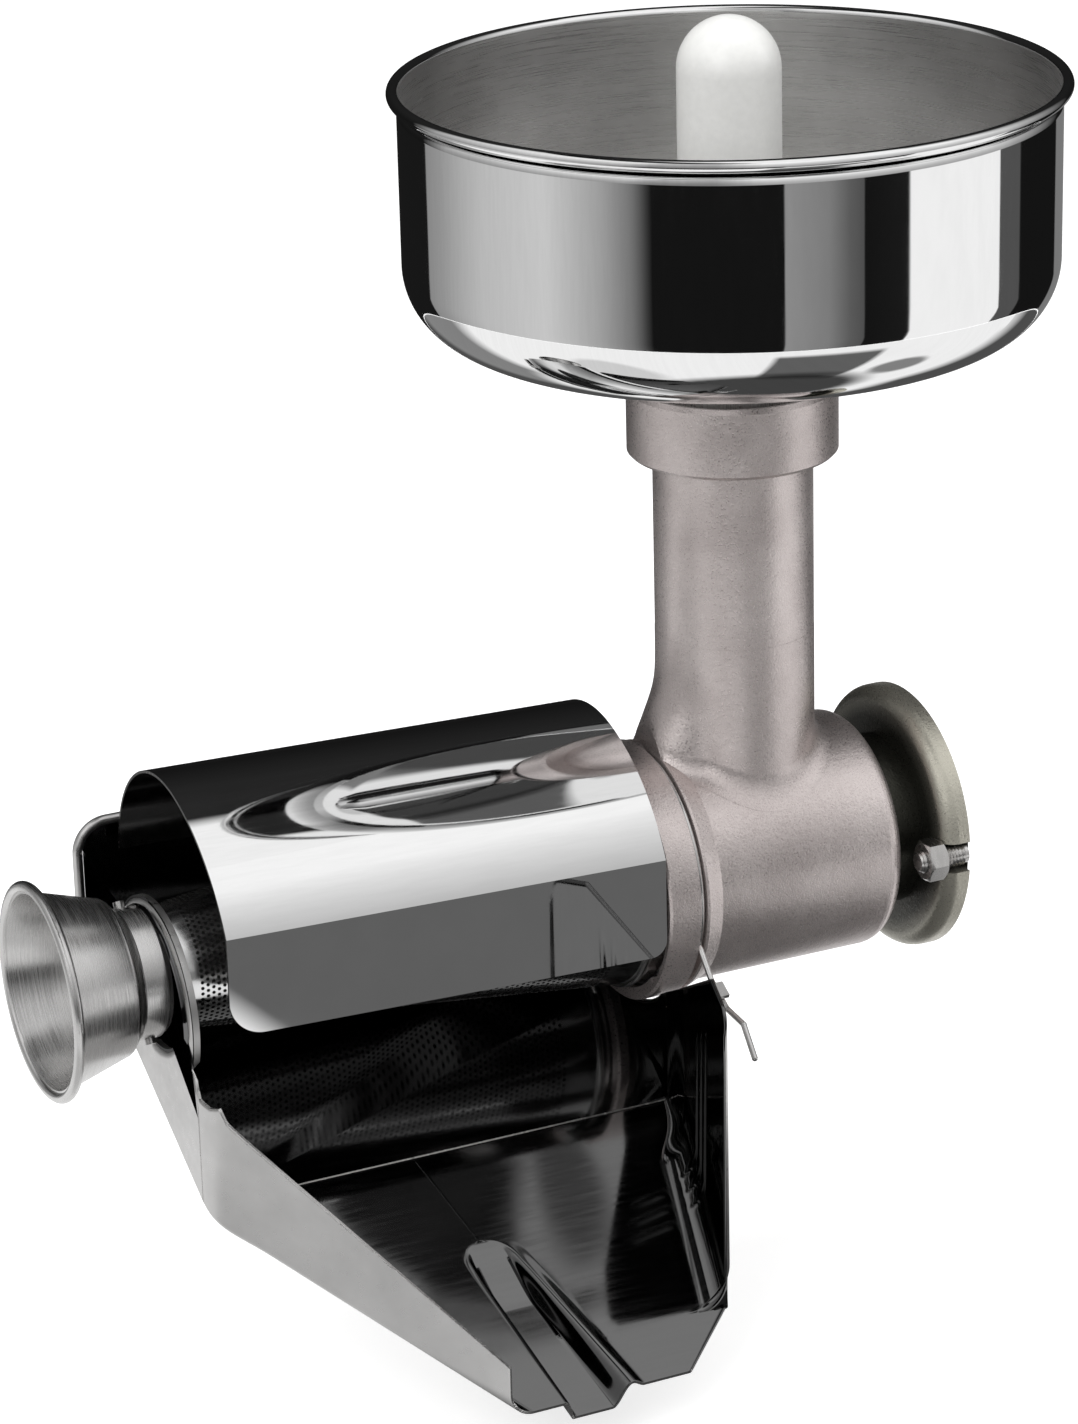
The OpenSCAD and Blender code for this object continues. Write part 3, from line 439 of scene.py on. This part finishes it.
def buildScreen(s):
    k = (s["wideR"] - s["tipR"]) / (s["wideX"] - s["tipX"])
    startX, endX = s["tipX"] + s["tipBand"], s["wideX"] - s["bandLen"]
    rowStep = s["pitch"] * cos(pi / 6)
    rowCount = int((endX - startX) / rowStep) // s["bands"] * s["bands"]
    rowStep = (endX - startX) / rowCount
    # a cell is a rectangle with a hexagonal hole: 6 points on its border, 6 round the brim, 6 on the floor
    corner = np.array([(-0.5, -0.5), (0, -0.5), (0.5, -0.5), (0.5, 0.5), (0, 0.5), (-0.5, 0.5)])
    h = s["hole"] / 2
    wide = h * cos(pi / 6)
    hexagon = np.array([(-wide, -h / 2), (0, -h), (wide, -h / 2), (wide, h / 2), (0, h), (-wide, h / 2)])
    points, faces = [], []
    count = 0
    perBand = rowCount // s["bands"]
    for band in range(s["bands"]):
        midX = startX + (band + 0.5) * perBand * rowStep
        midR = s["tipR"] + k * (midX - s["tipX"])
        n = int(round(2 * pi * midR / s["pitch"]))
        row = np.arange(perBand) + band * perBand
        cell = np.arange(n)
        rows, cells = np.meshgrid(row, cell, indexing="ij")
        rows, cells = rows.ravel()[:, None], cells.ravel()[:, None]
        midCellX = startX + (rows + 0.5) * rowStep
        midTurn = (cells + 0.5 * (rows % 2)) * 2 * pi / n
        r = s["tipR"] + k * (midCellX - s["tipX"])
        edge = conePoint(s, midCellX + corner[:, 1] * rowStep, midTurn + corner[:, 0] * 2 * pi / n)
        brim = conePoint(s, midCellX + hexagon[:, 1], midTurn + hexagon[:, 0] / r)
        floor = conePoint(s, midCellX + hexagon[:, 1], midTurn + hexagon[:, 0] / r, s["depth"])
        cellSize = len(corner) + 2 * len(hexagon)
        points.append(np.concatenate([edge, brim, floor], 1).reshape(-1, 3))
        base = (np.arange(len(rows)) * cellSize + count)[:, None]
        for i in range(6):
            j = (i + 1) % 6
            faces.append(base + np.array([[i, 6 + i, 6 + j, j]]))
            faces.append(base + np.array([[6 + i, 12 + i, 12 + j, 6 + j]]))
        count += len(rows) * cellSize
    # plain bands at the tip and the wide end, then a dark inner sheet behind the holes, painted shade seen
    # through them
    steps, rings = s["steps"], 4
    a = np.linspace(0, 2 * pi, steps, endpoint=False)[None, :]
    shadeSheetInset = s["depth"] + s["shadeSheetGap"]
    for low, high, inset in ((s["tipX"], startX, 0.0), (endX, s["wideX"], 0.0), (startX, endX, shadeSheetInset)):
        x = np.linspace(low, high, rings)[:, None]
        points.append(conePoint(s, x + 0 * a, a + 0 * x, inset).reshape(-1, 3))
        faces.append(gridFaces(rings, steps, True, count)[:, ::-1])
        count += rings * steps
    onShadeSheet = len(faces[-1])
    faces = np.concatenate(faces)
    slots = (np.arange(len(faces)) >= len(faces) - onShadeSheet).astype(int)     # the inner sheet is painted shade seen through the holes
    looks = ["screenSteel", "holeShade"]
    points = np.concatenate(points)
    piece = makePiece("perforatedCone", points, faces, looks, "screen", slots)
    bm = bmesh.new()
    bm.from_mesh(piece.data)
    bmesh.ops.remove_doubles(bm, verts=bm.verts, dist=2e-6)
    bm.to_mesh(piece.data)
    bm.free()
    piece.data.set_sharp_from_angle(angle=radians(s["sharp"]))
    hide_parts("screen_cone")
    print("screen:", rowCount, "rows,", len(faces), "faces")
    return piece


buildScreen(screen)

# juice chute: a folded sheet, glossy inside and painted dark there as painted shade, standing in for the dark
# surroundings it reflects, satin outside. Behind cutY it is the solid with rounded folds, in front of it a
# sheet of its own with a pressed channel, a ridge beside that and pleats in the wing
chute = {
    "cutY": -37.0, "lipY": -126.0, "leftX": -282.7, "rightX": -110.0, "rightY": -30.0, "bendY": -45.0,
    "bendSoft": 3.0, "lipLeft": -215.0, "lipRight": -153.0, "wingY": -107.0, "wingIn": 19.0, "wingOut": 3.0,
    "wingRamp": 14.0, "floorZ": -49.5, "slope": 30.0, "sheet": 1.0, "rows": 180, "wingCols": 40,
    # height of the left wall's edge and the wing's height above the floor, at each y
    "leftEdge": [(-126, -104.2), (-50, -35.5), (-48, -31), (-44, -32), (-38, -31), (-37, -28.7)],
    "wingRise": [(-126, 1.3), (-108.6, 1.3), (-108, 97), (-106.5, 102), (-104, 103.5), (-89, 97.9),
                 (-37, 40.6)],
    "rearFold": 3.2, "leftFold": 8.0, "rightFold": 14.0, "foldRamp": 22.0, "foldShare": 0.8, "foldCols": 16,
    "channelTop": (-197.0, -76.0), "channelLowX": -183.5, "channelHalf": (7.5, 11.0), "channelDepth": 5.0,
    "channelRamp": 20.0, "flank": (1.2, 6.5), "ridge": 1.6, "ridgeWide": (1.0, 5.0),
    "pleats": (-66.0, -71.5, -77.0), "pleatH": 0.7, "pleatW": 0.9, "pleatLean": 0.06,
    "pleatFoot": (0.5, 12.0), "pleatTop": (-26.0, -8.0),
    # how the rear's faces are told apart: a point inside, the cut edge's width and length, a fold's angle
    "inside": (-190.0, -20.0, -30.0), "edgeWidth": (0.8, 1.15), "edgeLength": 4.0, "foldTurn": 60,
    "sharp": 32,
}
chuteLooks = ["chuteInsideShaded", "chuteSteel", "chuteEdge"]


def smoothStep(v, start, end):
    # 0 before start, 1 after end, 3t^2 - 2t^3 between
    t = np.clip((v - start) / (end - start), 0, 1)
    return t * t * (3 - 2 * t)


def chuteSection(c, y):
    # outside of the sheet at each y, in columns of (x, z): left wall, fold, floor with channel, fold, wing
    lipY, soft = c["lipY"], c["bendSoft"]
    k = (c["lipLeft"] - c["leftX"]) / (c["bendY"] - lipY)
    xl = c["leftX"] + k * soft * np.logaddexp(0, (c["bendY"] - y) / soft)
    wingX = c["rightX"] - c["wingIn"]
    xr = np.interp(y, (lipY, c["wingY"], c["rightY"]), (c["lipRight"], wingX, c["rightX"]))
    xr = xr + c["wingOut"] * smoothStep(-y, -c["cutY"], -c["cutY"] + c["wingRamp"])
    zf = c["floorZ"] + y * tan(radians(c["slope"]))
    leftH = np.interp(y, *zip(*c["leftEdge"])) - zf
    rightH = np.interp(y, *zip(*c["wingRise"]))
    forward = smoothStep(-y, -c["cutY"], -c["cutY"] + c["foldRamp"])
    rl = np.minimum(c["rearFold"] + (c["leftFold"] - c["rearFold"]) * forward, c["foldShare"] * leftH)
    rr = np.minimum(c["rearFold"] + (c["rightFold"] - c["rearFold"]) * forward, c["foldShare"] * rightH)
    topX, topY = c["channelTop"]
    topHalf, lipHalf = c["channelHalf"]
    along = (topY - y) / (topY - lipY)          # 0 where the channel is full, 1 at the lip
    half = topHalf + (lipHalf - topHalf) * np.clip(along, 0, 1)
    half = half * np.sqrt(np.clip(1 - np.clip((y - topY) / topHalf, 0, 1) ** 2, 0.01, 1))
    mid = topX + (c["channelLowX"] - topX) * along
    deep = c["channelDepth"] / cos(radians(c["slope"]))
    deep = deep * smoothStep(topY + topHalf - y, 0, c["channelRamp"])
    steep, flat = c["flank"]
    flankR = steep + (flat - steep) * np.clip(along, 0, 1)
    crest = c["ridge"] * np.clip(along + 0.1, 0, 1)
    ridgeNear, ridgeFar = (mid + half + w for w in c["ridgeWide"])
    x, z = [], []

    def straight(t):
        return t

    def soften(t):
        return t * t * (3 - 2 * t)

    def run(x0, z0, x1, z1, count, shape=straight):
        for t in np.linspace(0, 1, count, endpoint=False):
            x.append(x0 + (x1 - x0) * t)
            z.append(z0 + (z1 - z0) * shape(t))

    def fold(midX, midZ, r, start, count):
        for turn in np.linspace(start, start + 0.5 * pi, count, endpoint=False):
            x.append(midX + r * cos(turn))
            z.append(midZ + r * sin(turn))

    run(xl, zf + leftH, xl, zf + rl, 26)
    fold(xl + rl, zf + rl, rl, pi, 12)
    run(xl + rl, zf, mid - half - steep, zf, 24)
    run(mid - half - steep, zf, mid - half + steep, zf - deep, 7, soften)
    run(mid - half + steep, zf - deep, mid + half - flankR, zf - deep, 9)
    run(mid + half - flankR, zf - deep, ridgeNear, zf + crest, 12, soften)
    run(ridgeNear, zf + crest, ridgeFar, zf, 8, soften)
    run(ridgeFar, zf, xr - rr, zf, 22)
    fold(xr - rr, zf + rr, rr, 1.5 * pi, c["foldCols"])
    run(xr, zf + rr, xr, zf + rightH, c["wingCols"])
    x.append(xr)
    z.append(zf + rightH)
    x, z = np.stack(x, -1), np.stack(z, -1)
    onWing = np.arange(x.shape[1]) >= x.shape[1] - c["foldCols"] - c["wingCols"] - 1
    wing = smoothStep(z - zf[:, None], *c["pleatFoot"]) * onWing
    wing = wing * (1 - smoothStep(z - (zf + rightH)[:, None], *c["pleatTop"]))
    for at in c["pleats"]:
        lean = y[:, None] - at + c["pleatLean"] * (z - zf[:, None])
        x = x - wing * c["pleatH"] * np.exp(-(lean / c["pleatW"]) ** 2)
    return x, z


def buildChuteFront(c):
    # rows from cutY to the lip, with one on either side of the step at the wing's end; the inside lies one
    # sheet from the outside along n = (change across the row) x (change along y), turned towards the juice
    wingEnd = [y for y, height in c["wingRise"][1:3]]
    y = np.unique(np.concatenate([np.linspace(c["lipY"], c["cutY"], c["rows"]), wingEnd]))[::-1]
    x, z = chuteSection(c, y)
    outside = np.stack([x, np.broadcast_to(y[:, None], x.shape), z], -1)
    normal = np.cross(np.gradient(outside, axis=1), np.gradient(outside, axis=0))
    length = np.linalg.norm(normal, axis=-1, keepdims=True)
    normal = normal / np.maximum(length, 1e-9)
    normal *= np.sign(normal[len(y) // 2, 45, 2])      # column 45 is on the floor, where the inside is above
    inside = outside + c["sheet"] * normal
    faces, sides = sheetFaces(*x.shape)
    slots = np.array((1, 0, 2))[sides]
    slots[1 - len(y):] = 0                     # the wing's free edge takes the inside's dark colour, painted shade as well
    points = np.concatenate([outside.reshape(-1, 3), inside.reshape(-1, 3)])
    piece = makePiece("chuteFront", points, faces, chuteLooks, "chute", slots)
    piece.data.polygons.foreach_set("use_smooth", slots < 2)
    return piece


def buildChuteRear(c):
    # the solid's triangles are joined into flat faces, cut off in front and sorted by side, then the folds
    # are rounded
    mesh = nodes["juice_chute"].data.copy()
    mesh.name = "chuteRear"
    bm = bmesh.new()
    bm.from_mesh(mesh)
    bmesh.ops.remove_doubles(bm, verts=bm.verts, dist=1e-6)
    bmesh.ops.bisect_plane(bm, geom=bm.verts[:] + bm.edges[:] + bm.faces[:], dist=1e-7,
                           plane_co=(0, c["cutY"] * mm, 0), plane_no=(0, -1, 0), clear_outer=True)
    bmesh.ops.dissolve_limit(bm, angle_limit=radians(0.5), verts=bm.verts, edges=bm.edges)
    bmesh.ops.holes_fill(bm, edges=[e for e in bm.edges if e.is_boundary], sides=0)
    middle = Vector(c["inside"]) * mm
    thin, thick = c["edgeWidth"]
    for face in bm.faces:
        at = face.calc_center_median()
        width = 2 * face.calc_area() / face.calc_perimeter() / mm
        longest = max(e.calc_length() for e in face.edges) / mm
        face.material_index = 0 if (at - middle).dot(face.normal) < 0 else 1
        if thin < width < thick and longest > c["edgeLength"]:
            face.material_index = 2
    for side, inset in ((0, c["sheet"]), (1, 0.0)):
        ends = [(c["leftX"] + inset) * mm, (c["rightX"] - inset) * mm]
        folds = [e for e in bm.edges if len(e.link_faces) == 2
                 and all(f.material_index == side for f in e.link_faces)
                 and e.calc_face_angle(0) > radians(c["foldTurn"])
                 and any(all(abs(v.co.x - x) < 1e-4 for v in e.verts) for x in ends)]
        bmesh.ops.bevel(bm, geom=folds, offset=(c["rearFold"] - inset) * mm, segments=5, profile=0.5,
                        affect="EDGES", clamp_overlap=False, material=side)
    mesh.materials.clear()
    for name in chuteLooks:
        mesh.materials.append(finishes[name])
    bm.to_mesh(mesh)
    bm.free()
    mesh.polygons.foreach_set("use_smooth", np.ones(len(mesh.polygons), dtype=bool))
    mesh.set_sharp_from_angle(angle=radians(c["sharp"]))
    piece = bpy.data.objects.new("chuteRear", mesh)
    bpy.context.scene.collection.objects.link(piece)
    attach(piece, "chute")
    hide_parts("juice_chute")
    return piece


buildChuteFront(chute)
buildChuteRear(chute)

# cast skin round the neck's foot: it runs over the web in front and ends in a round fillet on the barrel
neckFillet = {"x": -66.0, "neckR": 27.0, "barrelR": 41.5, "top": 82.0, "fillet": 6.0, "grooveX": -99.85,
              "webR": 17.0, "webFoot": 34.0, "webZ": 51.0, "webLean": 24.0, "blend": 0.8, "lift": 0.06,
              "rows": 64, "cols": 192}


def wallRadius(f, z, a):
    # neck and leaning web seen from the neck's axis: the web's level section is an ellipse, the ray from the
    # axis leaves it at the larger root of a quadratic, and a soft maximum joins the two radii
    lean = radians(f["webLean"])
    half = f["webR"] / cos(lean)
    mid = (z - f["webZ"]) * tan(lean) + half - f["webFoot"]
    p = (np.cos(a) / half) ** 2 + (np.sin(a) / f["webR"]) ** 2
    q = -mid * np.cos(a) / half ** 2
    d = q * q - p * ((mid / half) ** 2 - 1)
    web = np.where(d > 0, (-q + np.sqrt(np.maximum(d, 0))) / p, 0) + 2 * f["lift"]
    neck = f["neckR"] + f["lift"]
    return neck + np.logaddexp(0, f["blend"] * (web - neck)) / f["blend"]


def buildNeckFillet(f):
    # at each angle the skin comes down the wall, then follows (1-t)^2 start + 2t(1-t) corner + t^2 foot
    a = np.linspace(0, 2 * pi, f["cols"], endpoint=False)[None, :]
    rb = f["barrelR"] + f["lift"]
    cornerR = wallRadius(f, rb + 1.0, a)
    cornerZ = np.sqrt(rb ** 2 - (cornerR * np.sin(a)) ** 2)
    footR = cornerR + f["fillet"]
    footZ = np.sqrt(np.maximum(rb ** 2 - (footR * np.sin(a)) ** 2, 0))
    startZ = cornerZ + f["fillet"]
    half = f["rows"] // 2
    wallZ = f["top"] + (startZ - f["top"]) * np.linspace(0, 1, half)[:, None]
    wall = wallRadius(f, wallZ, a)
    t = np.linspace(0, 1, half + 1)[1:, None]
    r = wall[-1:] * (1 - t) ** 2 + cornerR * 2 * t * (1 - t) + footR * t ** 2
    z = startZ * (1 - t) ** 2 + cornerZ * 2 * t * (1 - t) + footZ * t ** 2
    r, z = np.concatenate([wall, r]), np.concatenate([wallZ, z])
    x = np.maximum(f["x"] + r * np.cos(a), f["grooveX"])       # the groove's wall cuts it off in front
    points = np.stack([x, r * np.sin(a), z], -1).reshape(-1, 3)
    faces = gridFaces(len(r), f["cols"], True)[:, ::-1]
    return makePiece("neckFillet", points, faces, ["cast"], "mill")


buildNeckFillet(neckFillet)
print("chute and neck dressed")

# studio: a white floor and world, soft lamps, and a ring of grey and black boards that only gloss sees
studio = {"floorZ": -0.145, "half": 3.0, "floorGlow": 0.5, "worldFill": 0.55}
# boards round the object, seen by gloss alone. Tiers and onFloor list (azimuth in degrees, brightness), climb
# (height, share of highTier), shades (middle, reach, level)
boards = {
    "radius": 0.80, "centre": (-0.10, 0.0), "steps": 720, "lowTop": 0.10,
    "lowTier": [(-180, 0.66), (-159, 0.40), (-148, 0.20), (-143, 0.05), (-141, 0.008), (-98.4, 0.008),
                (-98, 0.30), (-84, 0.23), (-77, 0.12), (-72.4, 0.09), (-72, 0.008), (-56.6, 0.012),
                (-56.2, 1.0), (-18.4, 1.0), (-18, 0.09), (-6.8, 0.09), (-6.4, 0.008), (24, 0.008),
                (25, 0.2), (66, 0.2), (67, 0.01), (118, 0.01), (118.6, 0.28), (129, 0.34), (152, 0.56),
                (180, 0.66)],
    "highTier": [(-180, 0.9), (-150, 0.85), (-140, 0.5), (-120, 0.5), (-104, 1.0), (-20, 1.0), (0, 0.5),
                 (20, 0.02), (120, 0.02), (135, 0.7), (180, 0.9)],
    "climb": [(0.10, 0.40), (0.28, 0.50), (0.55, 0.72), (1.0, 1.05), (1.6, 1.05)],
    "onFloor": [(-180, 1.0), (-101, 1.0), (-98, 0.13), (-62, 0.13), (-59, 1.0), (-5, 1.0), (12, 0.08),
                (88, 0.08), (98, 0.25), (126, 0.25), (138, 1.0), (180, 1.0)],
    "floorZ": -0.143, "floorRadius": 0.79, "floorRings": 60,
    "wedgeStart": (0.20, 0.26), "wedgeEnd": (0.56, 0.64),
    "shades": [((-0.08, -0.10), (0.15, 0.17), 0.06), ((-0.38, -0.08), (0.14, 0.09), 0.7),
               ((0.15, -0.20), (0.07, 0.07), 0.25)],
    "shadeEdge": (0.85, 1.2),
    "roofZ": 1.6, "roofRings": 24, "roofEdge": (0.17, 0.36), "roofSide": (-0.34, -0.20),
    "roofLevel": (1.0, 0.02),
}
lamps = {
    "leftBox": {"place": (-1.6, -1.2, 1.2), "target": (-0.1, 0, 0.08), "size": (1.0, 1.4), "power": 22},
    "rightBox": {"place": (1.5, -0.8, 1.1), "target": (-0.1, 0, 0.08), "size": (0.8, 1.2), "power": 10},
    "topBox": {"place": (-0.1, 0.2, 1.8), "target": (-0.1, 0, 0.05), "size": (1.2, 1.2), "power": 12},
}


def plainBoard(name, corners, material):
    mesh = bpy.data.meshes.new(name)
    mesh.from_pydata(corners, [], [(0, 1, 2, 3)])
    mesh.materials.append(material)
    board = bpy.data.objects.new(name, mesh)
    bpy.context.scene.collection.objects.link(board)
    return board


def litByBackground(tree, shadeOnly, seenLevel):
    # seenLevel for camera, glossy and transmission rays, shadeOnly for all others
    path = tree.nodes.new("ShaderNodeLightPath")
    seen = path.outputs["Is Camera Ray"]
    for kind in ("Is Glossy Ray", "Is Transmission Ray"):
        either = addNode(tree, "ShaderNodeMath", operation="MAXIMUM")
        tree.links.new(seen, either.inputs[0])
        tree.links.new(path.outputs[kind], either.inputs[1])
        seen = either.outputs[0]
    level = addNode(tree, "ShaderNodeMapRange")
    level.inputs["To Min"].default_value = shadeOnly
    level.inputs["To Max"].default_value = seenLevel
    tree.links.new(seen, level.inputs["Value"])
    return level.outputs["Result"]


def studioWorld():
    world = bpy.data.worlds.new("studioWorld")
    world.use_nodes = True
    back = world.node_tree.nodes["Background"]
    back.inputs["Color"].default_value = (1, 1, 1, 1)
    level = litByBackground(world.node_tree, studio["worldFill"], 1.0)
    world.node_tree.links.new(level, back.inputs["Strength"])
    bpy.context.scene.world = world


def floorMaterial():
    mat, tree, shader = newMaterial("paleFloor")
    shader.inputs["Base Color"].default_value = (0.9, 0.9, 0.9, 1)
    shader.inputs["Roughness"].default_value = 0.9
    shader.inputs["Specular IOR Level"].default_value = 0.0
    shader.inputs["Emission Color"].default_value = (1, 1, 1, 1)
    tree.links.new(litByBackground(tree, 0.0, studio["floorGlow"]), shader.inputs["Emission Strength"])
    return mat


def floorTier(b, turn, wedge):
    # floor rings: level = (1 + (wedge - 1) share) shade, where share fades in across wedgeStart and, in
    # front, out across wedgeEnd, and shade ramps over an ellipse's edge by d = length of (offset / reach)
    rings = []
    for r in np.linspace(0, b["floorRadius"], b["floorRings"]):
        x = b["centre"][0] + r * np.cos(np.radians(turn))
        y = b["centre"][1] + r * np.sin(np.radians(turn))
        shade = 1.0
        for (midX, midY), (reachX, reachY), level in b["shades"]:
            d = np.hypot((x - midX) / reachX, (y - midY) / reachY)
            shade = shade * np.interp(d, b["shadeEdge"], (level, 1.0))
        fade = np.where(turn < 0, np.interp(r, b["wedgeEnd"], (1, 0)), 1)
        share = np.interp(r, b["wedgeStart"], (0, 1)) * fade
        rings.append((r, b["floorZ"], (1 + (wedge - 1) * share) * shade))
    return rings


def roofTier(b, turn):
    # a roof over the ring, dark behind the object and left of it: its level falls across roofEdge in y and
    # rises across roofSide in x, both in straight ramps
    rings = []
    for r in np.linspace(b["radius"], 0, b["roofRings"]):
        x = b["centre"][0] + r * np.cos(np.radians(turn))
        y = b["centre"][1] + r * np.sin(np.radians(turn))
        behind = np.interp(y, b["roofEdge"], b["roofLevel"])
        beside = np.interp(x, b["roofSide"], b["roofLevel"][::-1])
        rings.append((r, b["roofZ"], behind * beside))
    return rings


def boardRing(b):
    # rings of corners about the object, joined in tiers; a corner takes its tier's brightness at its azimuth
    turn = np.linspace(-180, 180, b["steps"] + 1)
    low, high, onFloor = (np.interp(turn, *zip(*b[k])) for k in ("lowTier", "highTier", "onFloor"))
    climbZ, climb = zip(*b["climb"])
    tiers = [[(b["radius"], b["floorZ"], low), (b["radius"], b["lowTop"], low)],
             [(b["radius"], z, high * share) for z, share in zip(climbZ, climb)],
             roofTier(b, turn), floorTier(b, turn, onFloor)]
    midX, midY = b["centre"]
    c, s = np.cos(np.radians(turn)), np.sin(np.radians(turn))
    points, faces, levels = [], [], []
    for tier in tiers:
        faces.append(gridFaces(len(tier), len(turn), first=sum(map(len, points))))
        for r, z, level in tier:
            points.append(np.stack([midX + r * c, midY + r * s, np.full(len(turn), z)], -1))
            levels.append(level)
    mesh = bpy.data.meshes.new("studioRing")
    mesh.from_pydata(np.concatenate(points).tolist(), [], np.concatenate(faces).tolist())
    mesh.attributes.new("level", "FLOAT", "POINT").data.foreach_set("value", np.concatenate(levels))
    mat = bpy.data.materials.new("studioRing")
    mat.use_nodes = True
    tree = mat.node_tree
    tree.nodes.clear()
    glow = addNode(tree, "ShaderNodeEmission")
    level = addNode(tree, "ShaderNodeAttribute", attribute_name="level")
    out = addNode(tree, "ShaderNodeOutputMaterial")
    tree.links.new(level.outputs["Fac"], glow.inputs["Strength"])
    tree.links.new(glow.outputs[0], out.inputs["Surface"])
    mesh.materials.append(mat)
    ring = bpy.data.objects.new("studioRing", mesh)
    bpy.context.scene.collection.objects.link(ring)
    for ray in ("camera", "diffuse", "transmission", "volume_scatter", "shadow"):
        setattr(ring, "visible_" + ray, False)
    return ring


def softLamp(name, place, target, size, power):
    data = bpy.data.lights.new(name, "AREA")
    data.energy = power
    data.shape = "RECTANGLE"
    data.size, data.size_y = size
    lamp = bpy.data.objects.new(name, data)
    lamp.location = place
    lamp.rotation_euler = (Vector(target) - Vector(place)).to_track_quat("-Z", "Y").to_euler()
    bpy.context.scene.collection.objects.link(lamp)
    return lamp


half = studio["half"]
square = [(-half, -half), (half, -half), (half, half), (-half, half)]
plainBoard("paleFloor", [(x, y, studio["floorZ"]) for x, y in square], floorMaterial())
bpy.context.scene.view_settings.view_transform = "Standard"
studioWorld()
boardRing(boards)
for name, lamp in lamps.items():
    softLamp(name, **lamp)
print("studio set")
